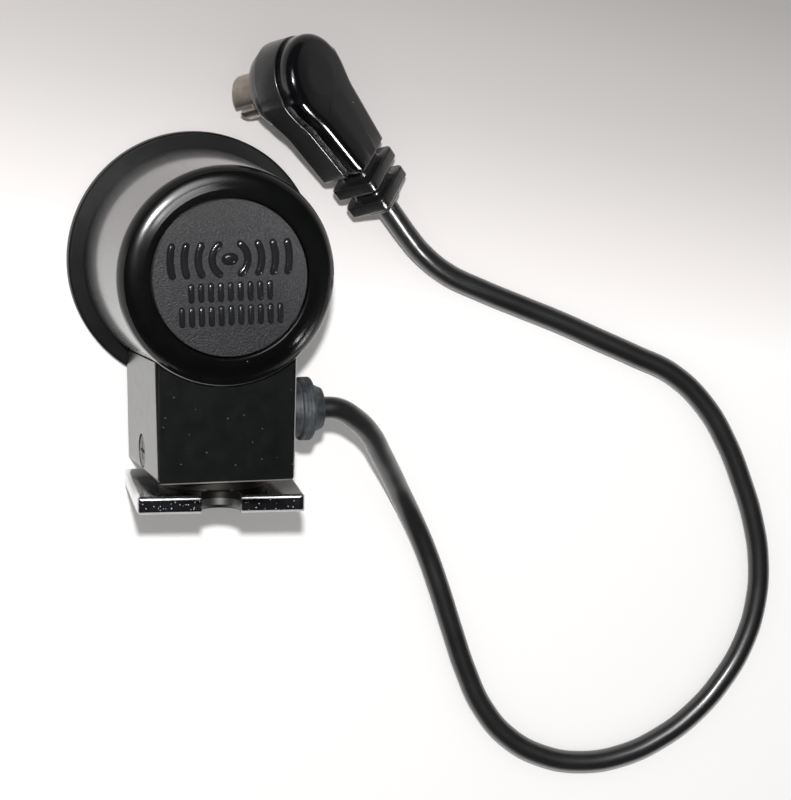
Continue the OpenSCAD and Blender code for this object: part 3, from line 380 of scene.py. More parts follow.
sleeve_nickel, tree, shader, spot = finish_of("sleeve_nickel", Metallic=1.0)
stain = add(tree, "TexNoise", {"Vector": spot, "Scale": 650.0, "Detail": 5.0, "Roughness": 0.7})
rounded = use(tree, edges, {"Radius": 0.12})
tree.links.new(two_colours(tree, stain.outputs["Fac"], (0.2, 0.15, 0.11), (0.7, 0.66, 0.58)),
               shader.inputs["Base Color"])
tree.links.new(between(tree, stain.outputs["Fac"], 0.5, 0.24), shader.inputs["Roughness"])
relief(tree, shader, stain.outputs["Fac"], 0.00004, 0.6, rounded.outputs["Normal"])
dress(sleeve_nickel, "plug_sleeve")

pin_gilt = grained("pin_gilt", 0.2, (0.6, 0.42, 0.16), (0.8, 0.62, 0.3), 0.18, 0.35, by="Height",
                   Metallic=1.0)
dress(pin_gilt, "plug_pins")

insulator_cream = grained("insulator_cream", 0.2, (0.55, 0.51, 0.42), (0.7, 0.66, 0.56), 0.4, 0.6,
                          by="Height")
dress(insulator_cream, "plug_insulator")

# ---- Cord ----
# A thin two-core cord with a smooth black jacket, soft enough to lie in one loose loop.
# It leaves the grommet, drops to the table, and rises into the boot of the plug.
cord_thickness = 0.0026
cord_line = [
    Vector(p) * millimetre
    for p in [
        (10.6, -16, 13), (12.268, -16, 13), (14.2, -16.2, 12.8), (16.6, -17.6, 11.8),
        (18.9, -19.8, 10.1), (20.8, -22.6, 7.9), (22.6, -25.3, 5.6), (24.3, -28, 3.5),
        (26.2, -31.3, 1.9), (28.1, -35.3, 1.3), (29.9, -40.2, 1.3), (31.6, -45.4, 1.3),
        (33.4, -50.6, 1.3), (35.6, -55.3, 1.3), (38.9, -59.2, 1.3), (43.3, -61.8, 1.3),
        (48.4, -62.9, 1.3), (53.6, -62.4, 1.3), (58.5, -60.5, 1.3), (62.9, -57.5, 1.3),
        (66.5, -53.6, 1.3), (69.2, -49.1, 1.3), (70.7, -44, 1.3), (70.9, -38.8, 1.3),
        (70, -33.7, 1.3), (68.4, -28.9, 1.3), (66.3, -24, 1.3), (63.3, -19.2, 1.3),
        (59, -15.2, 1.3), (54.1, -12.8, 1.3), (49.2, -10.6, 1.3), (44.3, -8.4, 1.3),
        (39.4, -6.4, 1.3), (34.6, -4.4, 1.3), (30.4, -2.4, 1.4), (27.2, 0.1, 1.8),
        (25.2, 2.3, 2.5),
    ]
] + [on_plug(21.2), on_plug(18.6), on_plug(16.6)]

cord_curve = bpy.data.curves.new("cord_jacket", "CURVE")
cord_curve.dimensions = "3D"
cord_curve.bevel_depth = cord_thickness / 2
cord_curve.bevel_resolution = 10
cord_curve.use_fill_caps = True
cord_curve.resolution_u = 16
run = cord_curve.splines.new("BEZIER")
run.bezier_points.add(len(cord_line) - 1)
for point, place in zip(run.bezier_points, cord_line):
    point.co = place
    point.handle_left_type = point.handle_right_type = "AUTO"
cord = bpy.data.objects.new("cord_jacket", cord_curve)
bpy.context.scene.collection.objects.link(cord)

# The jacket is black PVC with a faint drawn surface and a few dull places from handling.
jacket = grained("cord_jacket", 0.35, (0.006, 0.006, 0.0065), (0.014, 0.014, 0.015), 0.34, 0.48,
                 bump=(0.00002, 0.6), Coat_Weight=0.75, Coat_Roughness=0.2, Specular_IOR_Level=0.6)
cord_curve.materials.append(jacket)
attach(cord, "head")
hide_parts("cord")

# ---- Barrel shell ----
# One black ABS moulding, closed at the front by a broad rolled rim. The mould was
# polished, so it has a satin gloss, with a fine grain only close to.
crest_r, dome_w, side_foot, side_top = 0.0094, 0.00285, 0.0129, 0.01225
rim_depth, flange_top, flare_top, hair = 0.0026, 0.0016, 0.0052, 0.0001
# Leans of the finished faces in radians, and places on the dome as shares of its width.
side_turned_up, flare_lean, crease_lean, dome_steepness, dome_power = 0.045, 0.14, 0.72, 0.8, 1.9
crease_from, crease_highlight_from = 0.98, 0.945

# Turned work: how far a point lies from the barrel's axis.
turned, t_in, t_out = effect("turned_reach", [("Vector", 0)], ["Reach"])
flatten = (1, 1, 0)
t_flat = add(turned, "VectorMath", {0: t_in.outputs["Vector"], 1: flatten},
             operation="MULTIPLY").outputs[0]
turned.links.new(add(turned, "VectorMath", {0: t_flat}, operation="LENGTH").outputs["Value"],
                 t_out.inputs["Reach"])

# Turned work: the normal of a face that leans outward from straight up by Angle radians.
lean, l_in, l_out = effect("turned_lean", [("Vector", 0), ("Angle", 0.0)], ["Normal"])
l_flat = add(lean, "VectorMath", {0: l_in.outputs["Vector"], 1: flatten},
             operation="MULTIPLY").outputs[0]
l_way = add(lean, "VectorMath", {0: l_flat}, operation="NORMALIZE").outputs[0]
l_sine = math_of(lean, "SINE", l_in.outputs["Angle"])
l_out_part = add(lean, "VectorMath", {0: l_way, "Scale": l_sine}, operation="SCALE").outputs[0]
l_up_part = add(lean, "CombineXYZ", {2: math_of(lean, "COSINE", l_in.outputs["Angle"])}).outputs[0]
l_both = add(lean, "VectorMath", {0: l_out_part, 1: l_up_part}, operation="ADD").outputs[0]
l_world = add(lean, "VectorTransform", {0: l_both}, vector_type="NORMAL",
              convert_from="OBJECT", convert_to="WORLD").outputs[0]
lean.links.new(l_world, l_out.inputs["Normal"])


def axes_of(tree, spot):
    """A point or a direction split into its X, Y and Z."""
    return add(tree, "SeparateXYZ", {0: spot}).outputs


def leaning(tree, spot, angle):
    return use(tree, lean, {"Vector": spot, "Angle": angle}).outputs["Normal"]


def ramp_of(tree, value, start, end, low=0.0, high=1.0, **settings):
    """low where the value is at its start, high at its end."""
    return add(tree, "MapRange", {"Value": value, "From Min": start, "From Max": end,
                                  "To Min": low, "To Max": high}, **settings).outputs[0]


shell_black, tree, shader, spot = finish_of(
    "shell_black", Coat_Weight=1.0, Coat_Roughness=0.12, Specular_IOR_Level=0.5
)
skin = use(tree, grain, {"Vector": spot, "Size": 0.14})
lint = use(tree, dust, {"Vector": spot, "Spacing": 1.6, "Share": 0.22, "Speck": 0.05})
tone = two_colours(tree, skin.outputs["Shade"], (0.0012, 0.0013, 0.0014), (0.0026, 0.0028, 0.0028))
reach = use(tree, turned, {"Vector": spot}).outputs["Reach"]
up_the_barrel = axes_of(tree, spot)["Z"]
rim_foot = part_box("barrel_shell")[1].z - rim_depth
on_rim = math_of(tree, "GREATER_THAN", up_the_barrel, rim_foot + hair)
tree.links.new(between(tree, on_rim, 0.36, between(tree, skin.outputs["Shade"], 0.15, 0.2)),
               shader.inputs["Roughness"])
tree.links.new(between(tree, on_rim, 1.0, 0.8), shader.inputs["Coat Weight"])
# The side is a straight taper. The rim is a low dome that starts from a crease above it.
side_tilt = math.atan((side_foot - side_top) / (rim_foot - flange_top))
taper = math.pi / 2 - side_tilt - side_turned_up
over_dome = math_of(tree, "DIVIDE", math_of(tree, "SUBTRACT", reach, crest_r), dome_w, clamp=True)
# Along the foot of the rim, on the side of the block, the crease is painted pale: a painted
# highlight.
towards_block = ramp_of(tree, axes_of(tree, spot)["Y"], -0.003, -0.009)
painted_crease_highlight = math_of(tree, "MULTIPLY", math_of(tree, "MULTIPLY", on_rim, towards_block),
                      math_of(tree, "GREATER_THAN", over_dome, crease_highlight_from))
dusty = two_colours(tree, lint.outputs["Mask"], tone, (0.35, 0.34, 0.33))
tree.links.new(two_colours(tree, painted_crease_highlight, dusty, (0.5, 0.49, 0.48)),
               shader.inputs["Base Color"])
crease = ramp_of(tree, over_dome, crease_from, 1.0, 0.0, crease_lean,
                 interpolation_type="SMOOTHSTEP")
dome_fall = math_of(tree, "MULTIPLY", math_of(tree, "POWER", over_dome, dome_power), dome_steepness)
dome_lean = math_of(tree, "ADD", crease, dome_fall)
# The foot of the side flares a little, where it meets the flange.
flare = ramp_of(tree, up_the_barrel, flange_top, flare_top, flare_lean, 0.0,
                interpolation_type="SMOOTHSTEP")
side_lean = math_of(tree, "SUBTRACT", taper, flare)
smooth_side = either(tree, math_of(tree, "GREATER_THAN", reach, side_top - 2 * hair),
                     geometry_normal(tree), leaning(tree, spot, side_lean))
on_dome = math_of(tree, "MULTIPLY", math_of(tree, "GREATER_THAN", up_the_barrel, rim_foot),
                  math_of(tree, "GREATER_THAN", reach, crest_r))
relief(tree, shader, skin.outputs["Height"], 0.000005, 0.5,
       either(tree, on_dome, smooth_side, leaning(tree, spot, dome_lean)))
dress(shell_black, "barrel_shell")

# ---- Name disc ----
# A thin charcoal disc pressed into the front of the barrel, pebbled like fine leather.
# Its raised part is a plain sign for a signal over two rows of ribs, polished smooth.
disc_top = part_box("name_disc")[1].z
face_r, crown_per_metre, edge_lean = 0.00864, 0.045 / 0.0086, 0.42
disc_grey, tree, shader, spot = finish_of("disc_grey", Specular_IOR_Level=0.42)
pebbles = add(tree, "TexNoise", {"Vector": spot, "Scale": 5200.0, "Detail": 2.0, "Roughness": 0.6})
skin = use(tree, grain, {"Vector": spot, "Size": 0.09})
# The tops of the pebbles are painted paler: a painted sheen.
painted_pebble_sheen = ramp_of(tree, pebbles.outputs["Fac"], 0.36, 0.66)
tone = two_colours(tree, skin.outputs["Shade"], (0.003, 0.0032, 0.0037), (0.007, 0.0073, 0.0083))
tree.links.new(two_colours(tree, painted_pebble_sheen, tone, (0.026, 0.0265, 0.03)), shader.inputs["Base Color"])
reach = use(tree, turned, {"Vector": spot}).outputs["Reach"]
turned_edge = math_of(tree, "GREATER_THAN", reach, face_r)
tree.links.new(between(tree, turned_edge, between(tree, skin.outputs["Height"], 0.42, 0.5), 0.3),
               shader.inputs["Roughness"])
knobs = math_of(tree, "ADD", pebbles.outputs["Fac"],
                math_of(tree, "MULTIPLY", skin.outputs["Height"], 0.25))
knobs = math_of(tree, "MULTIPLY", knobs, math_of(tree, "SUBTRACT", 1.0, turned_edge))
# The face is crowned by a few hundredths, and its rim is turned down.
crown = math_of(tree, "MULTIPLY", reach, crown_per_metre)
crown = between(tree, turned_edge, crown, edge_lean)
relief(tree, shader, knobs, 0.00009, 0.8, leaning(tree, spot, crown))
dress(disc_grey, "name_disc")


# A bead's round ends start at this share of its size. Its foot is sunk into the disc.
end_share, sunk = 0.12, 0.00004


def raised_stroke(bm, points, width, height, base):
    """A low half-round bead along points, with round ends, standing on the height base."""
    around, fullness = 8, 1.25
    line = [Vector((p[0], p[1], 0)) for p in points]
    rings = []
    ends = [(math.cos(a), max(end_share, math.sin(a)))
            for a in [math.radians(degrees) for degrees in (0, 30, 60)]]
    first, last = (line[1] - line[0]).normalized(), (line[-1] - line[-2]).normalized()
    for out, size in ends:
        rings.append((line[0] - first * width / 2 * out, first, size))
    for i, p in enumerate(line):
        ahead = (line[min(i + 1, len(line) - 1)] - line[max(i - 1, 0)]).normalized()
        rings.append((p, ahead, 1.0))
    for out, size in reversed(ends):
        rings.append((line[-1] + last * width / 2 * out, last, size))
    loops = []
    for centre, ahead, size in rings:
        side = Vector((-ahead.y, ahead.x, 0))
        loop = []
        for k in range(around + 1):
            a = math.pi * k / around
            lift = height * min(1.0, fullness * math.sin(a)) * size
            loop.append(bm.verts.new(
                centre + side * (width / 2 * size * math.cos(a)) + Vector((0, 0, base + lift))))
        loops.append(loop)
    for one, two in zip(loops, loops[1:]):
        for k in range(around):
            bm.faces.new((one[k], two[k], two[k + 1], one[k + 1]))
    bm.faces.new(loops[0])
    bm.faces.new(list(reversed(loops[-1])))


sign = bmesh.new()
sign_tilt = Matrix.Rotation(math.radians(1.6), 2)
base = disc_top - sunk


def drawn(points):
    """Points of the sign in millimetres, turned with it."""
    return [sign_tilt @ (Vector(p) * millimetre) for p in points]


# A dot between four bows on each side, then two rows of ribs, placed in millimetres. Each
# bead has a width and a height in metres.
dot_y, dot_half, bow_half, rib_step = 2.1, 0.25, 1.6, 1.1
dot_bead, bow_bead, rib_bead = (0.0014, 0.00036), (0.00088, 0.00034), (0.00072, 0.0003)
raised_stroke(sign, drawn([(-dot_half, dot_y), (dot_half, dot_y)]), *dot_bead, base)
for side in (-1, 1):
    for bow_r in (2.0, 3.55, 5.1, 6.65):
        half = math.asin(min(1.0, bow_half / bow_r))
        bow = [(side * (bow_r * math.cos(a)), dot_y + bow_r * math.sin(a))
               for a in [half * k / 6 for k in range(-6, 7)]]
        raised_stroke(sign, drawn(bow), *bow_bead, base)
for row_y, ribs, tall in ((-1.5, 9, 0.75), (-4.1, 11, 0.8)):
    for k in range(ribs):
        x = (k - (ribs - 1) / 2) * rib_step
        raised_stroke(sign, drawn([(x, row_y - tall), (x, row_y + tall)]), *rib_bead, base)
sign_mesh = bpy.data.meshes.new("disc_relief")
sign.to_mesh(sign_mesh)
sign.free()
disc_relief = bpy.data.objects.new("disc_relief", sign_mesh)
bpy.context.scene.collection.objects.link(disc_relief)
for face in sign_mesh.polygons:
    face.use_smooth = True
sign_gloss = grained("sign_gloss", 0.3, (0.012, 0.012, 0.014), (0.02, 0.02, 0.022), 0.1, 0.22,
                     bump=(0.00004, 0.6), Coat_Weight=0.8, Coat_Roughness=0.06)
sign_mesh.materials.append(sign_gloss)
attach(disc_relief, "head")

# ---- Rear bezel, window and sensor ----
# The flanged ring closes the back of the barrel and holds the round filter that only
# infrared light passes. Behind it a hood, a photodiode and a small board hang on posts.
bezel_black, tree, shader, spot = finish_of("bezel_black", Specular_IOR_Level=0.15)
skin = use(tree, grain, {"Vector": spot, "Size": 0.2})
lint = use(tree, dust, {"Vector": spot, "Spacing": 2.2, "Share": 0.15, "Speck": 0.05})
tone = two_colours(tree, skin.outputs["Shade"], (0.003, 0.0032, 0.0032), (0.006, 0.0064, 0.0064))
tree.links.new(two_colours(tree, lint.outputs["Mask"], tone, (0.3, 0.29, 0.28)),
               shader.inputs["Base Color"])
tree.links.new(between(tree, skin.outputs["Shade"], 0.36, 0.46), shader.inputs["Roughness"])
reach = use(tree, turned, {"Vector": spot}).outputs["Reach"]
# The flat face of the flange stops short of its rounded edge.
flat_r, just_under = 0.01431, 0.000004
on_top = math_of(tree, "GREATER_THAN", axes_of(tree, spot)["Z"], flange_top - just_under)
flange_face = math_of(tree, "MULTIPLY", math_of(tree, "LESS_THAN", reach, flat_r), on_top)
relief(tree, shader, skin.outputs["Height"], 0.000008, 0.5,
       either(tree, flange_face, geometry_normal(tree), leaning(tree, spot, 0.0)))
dress(bezel_black, "rear_bezel")

window_red = grained("window_red", 1.2, (0.10, 0.004, 0.012), (0.15, 0.008, 0.018), 0.03, 0.07,
                     Transmission_Weight=0.85, IOR=1.49, Coat_Weight=0.3, Coat_Roughness=0.03)
dress(window_red, "filter_window")

hood_black = grained("hood_black", 0.25, (0.015, 0.015, 0.016), (0.03, 0.03, 0.031), 0.5, 0.7,
                     by="Height", bump=(0.00002, 0.5))
dress(hood_black, "window_ring", "diode_hood")

diode_case = grained("diode_case", 0.4, (0.05, 0.015, 0.03), (0.09, 0.03, 0.05), 0.1, 0.2,
                     Coat_Weight=0.5, Coat_Roughness=0.05)
dress(diode_case, "photodiode")

board_green, tree, shader, spot = finish_of("board_green", Coat_Weight=0.4, Coat_Roughness=0.2)
tracks = add(tree, "TexBrick", {"Vector": spot, "Scale": 420.0, "Mortar Size": 0.12,
                                "Color1": (0.012, 0.09, 0.03, 1), "Color2": (0.018, 0.12, 0.045, 1),
                                "Mortar": (0.03, 0.2, 0.08, 1)})
tree.links.new(tracks.outputs["Color"], shader.inputs["Base Color"])
tree.links.new(between(tree, tracks.outputs["Fac"], 0.35, 0.5), shader.inputs["Roughness"])
relief(tree, shader, tracks.outputs["Fac"], 0.00003, 0.6)
dress(board_green, "sensor_board", "switch_board")

part_black = grained("part_black", 0.15, (0.02, 0.02, 0.022), (0.08, 0.07, 0.06), 0.4, 0.65,
                     by="Height", bump=(0.00002, 0.5))
dress(part_black, "board_parts", "switch_parts")

tinned = grained("tinned", 0.5, (0.5, 0.5, 0.48), (0.66, 0.66, 0.64), 0.25, 0.45, Metallic=1.0)
dress(tinned, "shield_can", "cord_ferrule")

lead_red = grained("lead_red", 0.6, (0.22, 0.02, 0.02), (0.4, 0.05, 0.04), 0.35, 0.5, by="Height")
dress(lead_red, "leads", "plug_cores")

# ---- Screws ----
# Steel cross-recessed screws: bright ones inside, and one blackened screw sunk in each
# side of the block.
screw_steel = grained("screw_steel", 0.12, (0.42, 0.42, 0.43), (0.6, 0.6, 0.61), 0.2, 0.4,
                      by="Height", bump=(0.00001, 0.5), Metallic=1.0)
dress(screw_steel, "board_screws", "saddle_screws", "swivel_post", "disc_spring", "retaining_clip")

screw_black, tree, shader, spot = finish_of("screw_black", Metallic=1.0)
skin = use(tree, grain, {"Vector": spot, "Size": 0.2})
rounded = use(tree, edges, {"Radius": 0.12})
tone = two_colours(tree, skin.outputs["Shade"], (0.05, 0.05, 0.052), (0.11, 0.11, 0.115))
tree.links.new(two_colours(tree, rounded.outputs["Edge"], tone, (0.4, 0.39, 0.37)),
               shader.inputs["Base Color"])
tree.links.new(between(tree, skin.outputs["Height"], 0.25, 0.42), shader.inputs["Roughness"])
relief(tree, shader, skin.outputs["Height"], 0.00002, 0.5, rounded.outputs["Normal"])
dress(screw_black, "side_screws")

# ---- Housing block ----
# A hollow block moulded in the same black plastic, saddled under the barrel. Its base
# plate clips in from below and carries the swivel.
block_black, tree, shader, spot = finish_of(
    "block_black", Coat_Weight=0.33, Coat_Roughness=0.12, Specular_IOR_Level=0.5
)
skin = use(tree, grain, {"Vector": spot, "Size": 0.11})
lint = use(tree, dust, {"Vector": spot, "Spacing": 0.9, "Share": 0.6, "Speck": 0.04})
# Corners are eased only outside the saddle that the barrel sits in.
saddle_reach, bevel, front_bevel = 0.0142, 0.0002, 0.00023
reach = use(tree, turned, {"Vector": spot}).outputs["Reach"]
rounded = use(tree, edges, {"Radius": 0.2,
                            "Share": math_of(tree, "GREATER_THAN", reach, saddle_reach)})
tone = two_colours(tree, skin.outputs["Shade"], (0.0026, 0.0032, 0.003), (0.0058, 0.0067, 0.0063))
corner = axes_of(tree, spot)
low_face, high_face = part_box("housing_block")
# Along the bottom bevel of the front face a thin band is painted pale: a painted highlight.
front_depth = math_of(tree, "GREATER_THAN", corner["Z"], high_face.z - front_bevel)
painted_bottom_highlight = math_of(tree, "MULTIPLY", front_depth,
                       math_of(tree, "LESS_THAN", corner["Y"], low_face.y + bevel))
tone = two_colours(tree, painted_bottom_highlight, tone, (0.36, 0.33, 0.32))
# The block widens a little towards the barrel, so its side runs along a slope. The front
# corner of that side is painted pale: a painted highlight.
side_slope, base_y, base_half_w, pale_w, pale_depth = 0.0202, -0.0231, 0.00774, 0.00013, 0.0006
middle_half_w = base_half_w - side_slope * base_y
half_width = add(tree, "Math", {0: corner["Y"], 1: side_slope, 2: middle_half_w},
                 operation="MULTIPLY_ADD").outputs[0]
past_side = math_of(tree, "SUBTRACT", corner["X"], half_width)
painted_right_highlight = math_of(tree, "MULTIPLY", math_of(tree, "GREATER_THAN", past_side, -pale_w),
                       math_of(tree, "GREATER_THAN", corner["Z"], high_face.z - pale_depth))
tone = two_colours(tree, painted_right_highlight, tone, (0.4, 0.38, 0.37))
# The eased corners, except at the bottom, are painted paler: a painted highlight along the edges.
painted_edge_highlight = math_of(tree, "MULTIPLY", rounded.outputs["Edge"],
                 math_of(tree, "GREATER_THAN", corner["Y"], low_face.y + 2 * bevel))
tone = two_colours(tree, painted_edge_highlight, tone, (0.22, 0.21, 0.2))
tree.links.new(two_colours(tree, lint.outputs["Mask"], tone, (0.4, 0.4, 0.38)),
               shader.inputs["Base Color"])
tree.links.new(between(tree, skin.outputs["Shade"], 0.2, 0.3), shader.inputs["Roughness"])
relief(tree, shader, skin.outputs["Height"], 0.000006, 0.5, rounded.outputs["Normal"])
dress(block_black, "housing_block", "base_plate")

# ---- Grommet ----
# A soft rubber strain relief, pushed into the side of the block. Handling has left it
# dusty and a little blue against the black plastic.
rubber_grey, tree, shader, spot = finish_of("rubber_grey")
skin = use(tree, grain, {"Vector": spot, "Size": 0.3})
blotch = add(tree, "TexNoise", {"Vector": spot, "Scale": 700.0, "Detail": 4.0, "Roughness": 0.65})
rounded = use(tree, edges, {"Radius": 0.3})
patches = between(tree, blotch.outputs["Fac"], -1.1, 2.1)
tone = two_colours(tree, patches, (0.010, 0.012, 0.014), (0.075, 0.083, 0.095))
worn = math_of(tree, "MULTIPLY", rounded.outputs["Edge"], 0.45)
tree.links.new(two_colours(tree, worn, tone, (0.24, 0.26, 0.28)), shader.inputs["Base Color"])
tree.links.new(between(tree, skin.outputs["Height"], 0.42, 0.62), shader.inputs["Roughness"])
relief(tree, shader, blotch.outputs["Fac"], 0.00012, 0.6, rounded.outputs["Normal"])
dress(rubber_grey, "grommet")

# ---- Swivel foot ----
# The accessory foot is a small chromed plate with a notch in its front edge. It turns
# on a steel post through the base plate, held by a disc spring and a clip.
chromed, tree, shader, spot = finish_of("chromed", Metallic=1.0)
rounded = use(tree, edges, {"Radius": 0.28})
pits = add(tree, "TexVoronoi", {"Vector": spot, "Scale": 3200.0})
pit_split = add(tree, "SeparateColor", {0: pits.outputs["Color"]})
clouds = add(tree, "TexNoise", {"Vector": spot, "Scale": 420.0, "Detail": 5.0, "Roughness": 0.7})
crowd = between(tree, clouds.outputs["Fac"], -0.5, 1.5)
pitted = math_of(tree, "MULTIPLY", math_of(tree, "LESS_THAN", pits.outputs["Distance"], 0.2),
                 math_of(tree, "LESS_THAN", pit_split.outputs[0], crowd))
corner = axes_of(tree, spot)
plate_floor, half_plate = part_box("foot_plate")[0].y, 0.0011
top_half = math_of(tree, "GREATER_THAN", corner["Y"], plate_floor + half_plate)
# Round the boss, in the shade of the block, the top of the plate is painted near black: painted
# shade.
post_axis, shade_full_r, shade_end_r, notch_r = (0, 0, 0.012), 0.0082, 0.0116, 0.0088
from_post = add(tree, "VectorMath", {0: spot, 1: post_axis}, operation="SUBTRACT").outputs[0]
from_post = add(tree, "VectorMath", {0: from_post, 1: (1, 0, 1)}, operation="MULTIPLY").outputs[0]
post_reach = add(tree, "VectorMath", {0: from_post}, operation="LENGTH").outputs["Value"]
out_of_boss_shade = ramp_of(tree, post_reach, shade_full_r, shade_end_r)
painted_boss_shade = math_of(tree, "MULTIPLY", math_of(tree, "SUBTRACT", 1.0, out_of_boss_shade), top_half)
# The wall of the notch has gone dull, and is painted darker: painted shade in the notch. It stands
# across the plate's own flat faces.
wall_side = axes_of(tree, geometry_normal(tree))["Y"]
on_a_wall = math_of(tree, "LESS_THAN", math_of(tree, "ABSOLUTE", wall_side), 0.7)
notch_dull_and_shade = math_of(tree, "MULTIPLY", on_a_wall, ramp_of(tree, post_reach, notch_r, shade_full_r))
tone = two_colours(tree, clouds.outputs["Fac"], (0.62, 0.62, 0.64), (0.78, 0.78, 0.79))
tone = two_colours(tree, pitted, tone, (0.62, 0.66, 0.75))
tone = two_colours(tree, notch_dull_and_shade, tone, (0.2, 0.2, 0.2))
tree.links.new(two_colours(tree, painted_boss_shade, tone, (0.05, 0.047, 0.043)), shader.inputs["Base Color"])
polished = between(tree, clouds.outputs["Fac"], 0.04, 0.2)
dulled = math_of(tree, "MAXIMUM", math_of(tree, "MULTIPLY", rounded.outputs["Edge"], top_half),
                 math_of(tree, "MAXIMUM", pitted, notch_dull_and_shade))
tree.links.new(between(tree, dulled, polished, 0.44), shader.inputs["Roughness"])
# The lower edge of the plate is a broad soft chamfer.
chamfer_top, chamfer_foot = plate_floor + 0.00036, plate_floor + 0.0002
low_edge = ramp_of(tree, corner["Y"], chamfer_top, chamfer_foot)
down = add(tree, "CombineXYZ", {1: math_of(tree, "MULTIPLY", low_edge, -1.0)}).outputs[0]
tipped = add(tree, "VectorMath", {0: rounded.outputs["Normal"], 1: down},
             operation="ADD").outputs[0]
relief(tree, shader, clouds.outputs["Fac"], 0.00001, 0.4,
       add(tree, "VectorMath", {0: tipped}, operation="NORMALIZE").outputs[0])
dress(chromed, "foot_plate")

fibre_brown, tree, shader, spot = finish_of("fibre_brown")
skin = use(tree, grain, {"Vector": spot, "Size": 0.1})
tree.links.new(two_colours(tree, skin.outputs["Height"], (0.1, 0.05, 0.03), (0.2, 0.11, 0.06)),
               shader.inputs["Base Color"])
tree.links.new(between(tree, skin.outputs["Height"], 0.6, 0.8), shader.inputs["Roughness"])
dress(fibre_brown, "friction_washer")

# ---- Table and light ----
# The part lies on a plain white table, painted paler near the viewer and darker away from it:
# a painted falloff of the light. One small lamp over the viewer's shoulder throws the shadows.
# A thin strip and a soft patch of the room show only in gloss.
table_half, palest = 1.2, 0.93
fade_near, fade_far, fade_slant = -0.002, 0.058, 0.16
table_mesh = bpy.data.meshes.new("table")
table_mesh.from_pydata([(x * table_half, y * table_half, 0)
                        for x, y in ((-1, -1), (1, -1), (1, 1), (-1, 1))], [], [(0, 1, 2, 3)])
table = bpy.data.objects.new("table", table_mesh)
bpy.context.scene.collection.objects.link(table)
table_white = bpy.data.materials.new("table_white")
table_white.use_nodes = True
tree = table_white.node_tree
tree.nodes.clear()
place = axes_of(tree, tree.nodes.new("ShaderNodeTexCoord").outputs["Object"])
far_away = math_of(tree, "ADD", place["Y"], math_of(tree, "MULTIPLY", place["X"], fade_slant))
# The table's colour is painted darker away from the viewer: a painted falloff of the light.
painted_falloff = ramp_of(tree, far_away, fade_near, fade_far)
ramp = add(tree, "ValToRGB", {0: painted_falloff})
steps = ((0.0, 0.93), (0.117, 0.82), (0.2, 0.746), (0.283, 0.67), (0.367, 0.6), (0.533, 0.505),
         (0.7, 0.39), (1.0, 0.3))
stops = ramp.color_ramp.elements
for at, level in steps:
    stop = stops[0] if at == 0 else stops[-1] if at == 1 else stops.new(at)
    stop.color = (min(level * 1.03, palest), level * 0.99, level * 0.98, 1)
surface = add(tree, "BsdfDiffuse", {"Color": ramp.outputs["Color"]})
# A faint glow that lights nothing keeps the near side of the table pale.
seen = tree.nodes.new("ShaderNodeLightPath")
lift = ramp_of(tree, painted_falloff, 0.0, 0.45, 0.1, 0.0)
shown = math_of(tree, "ADD", seen.outputs["Is Camera Ray"],
                math_of(tree, "MULTIPLY", seen.outputs["Is Glossy Ray"], 0.5))
glow = add(tree, "Emission", {"Strength": math_of(tree, "MULTIPLY", shown, lift)})
both = add(tree, "AddShader", {0: surface.outputs[0], 1: glow.outputs[0]})
out = tree.nodes.new("ShaderNodeOutputMaterial")
tree.links.new(both.outputs[0], out.inputs["Surface"])
table_mesh.materials.append(table_white)


def lamp(name, place, aim, size, watts, shape="DISK"):
    """A soft lamp that stands at a place and points at another."""
    light = bpy.data.lights.new(name, "AREA")
    light.shape = shape
    light.size = size
    light.energy = watts
    made = bpy.data.objects.new(name, light)
    made.location = place
    made.rotation_euler = (Vector(aim) - Vector(place)).to_track_quat("-Z", "Y").to_euler()
    bpy.context.scene.collection.objects.link(made)
    return made


lamp("flash_lamp", place=(-0.078, 0.091, 0.38), aim=(0.02, -0.02, 0), size=0.016, watts=1.35)

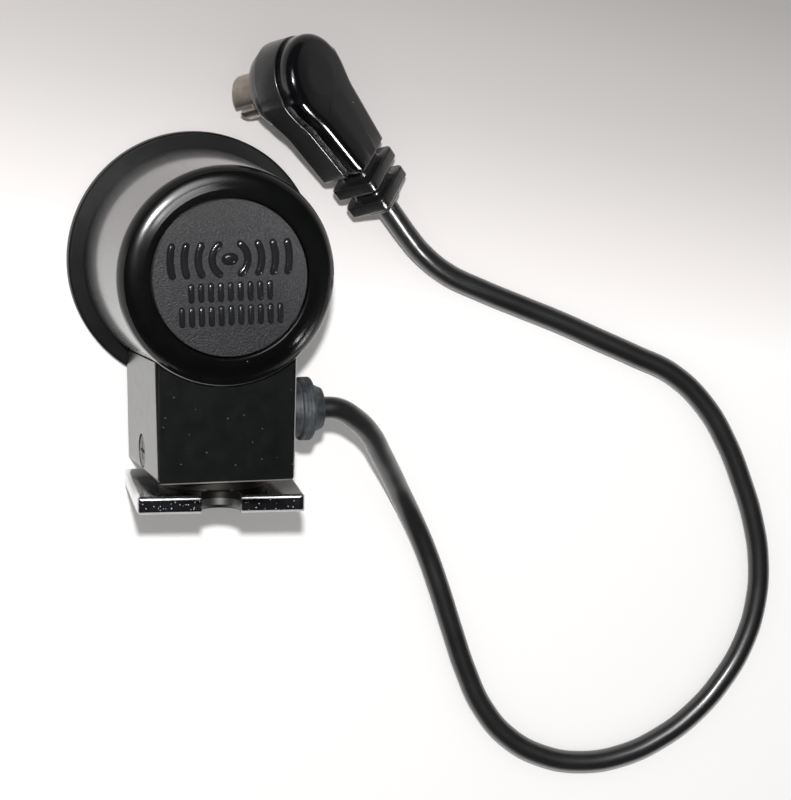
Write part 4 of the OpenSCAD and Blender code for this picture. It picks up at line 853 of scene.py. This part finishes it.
# A thin strip close to the plug draws the line of light along the edge of its cover.
strip_distance, flank_turn = 0.07, 0.106
strip_aim = on_plug(6.0, -4.2, 2.4)
strip_way = Vector((0.44, -0.57, 0.69)).normalized()
strip_place = strip_aim + strip_way * strip_distance
along = plug_turn @ Vector((math.cos(flank_turn), math.sin(flank_turn), 0))
along = (along - strip_way * along.dot(strip_way)).normalized()
strip = lamp("plug_strip", strip_place, strip_aim, size=0.03, watts=0.0032, shape="RECTANGLE")
strip.data.size_y = 0.018
strip.data.spread = math.radians(26)
strip.matrix_world = (
    Matrix.Translation(strip_place)
    @ Matrix((along, strip_way.cross(along), strip_way)).transposed().to_4x4()
)
strip.visible_camera = False
strip.visible_diffuse = False

# The viewer sees a pale room. A plain grey one lights the part, and gloss shows darker walls
# with one soft bright patch.
room = bpy.data.worlds.new("room")
bpy.context.scene.world = room
room.use_nodes = True
tree = room.node_tree
tree.nodes.clear()
seen = tree.nodes.new("ShaderNodeLightPath")
outward = tree.nodes.new("ShaderNodeTexCoord").outputs["Generated"]
overhead = ramp_of(tree, axes_of(tree, outward)["Z"], 0.1, 0.75)
walls = two_colours(tree, overhead, (0.05, 0.049, 0.048), (0.006, 0.006, 0.007))


def soft_box(direction, middle, rim, level):
    """A round soft patch of the room that only gloss shows, between two half-angles."""
    towards = add(tree, "VectorMath", {0: outward, 1: Vector(direction).normalized()},
                  operation="DOT_PRODUCT").outputs["Value"]
    patch = ramp_of(tree, towards, math.cos(math.radians(rim)), math.cos(math.radians(middle)),
                    interpolation_type="SMOOTHSTEP")
    return math_of(tree, "MULTIPLY", patch, level)


glints = soft_box((-0.06, 0.33, 0.94), middle=3, rim=16, level=9.0)
soft = add(tree, "Background", {"Color": (0.3, 0.294, 0.288, 1)})
panels = add(tree, "Background", {"Strength": glints})
pale = add(tree, "Background", {"Color": (0.86, 0.85, 0.84, 1)})
wall_light = add(tree, "Background", {"Color": walls})
mirrored = add(tree, "AddShader", {0: wall_light.outputs[0], 1: panels.outputs[0]})
light_or_mirror = add(tree, "MixShader", {0: seen.outputs["Is Glossy Ray"], 1: soft.outputs[0],
                                          2: mirrored.outputs[0]})
room_seen = add(tree, "MixShader", {0: seen.outputs["Is Camera Ray"],
                                    1: light_or_mirror.outputs[0], 2: pale.outputs[0]})
out = tree.nodes.new("ShaderNodeOutputWorld")
tree.links.new(room_seen.outputs[0], out.inputs["Surface"])

bpy.context.scene.view_settings.view_transform = "Standard"
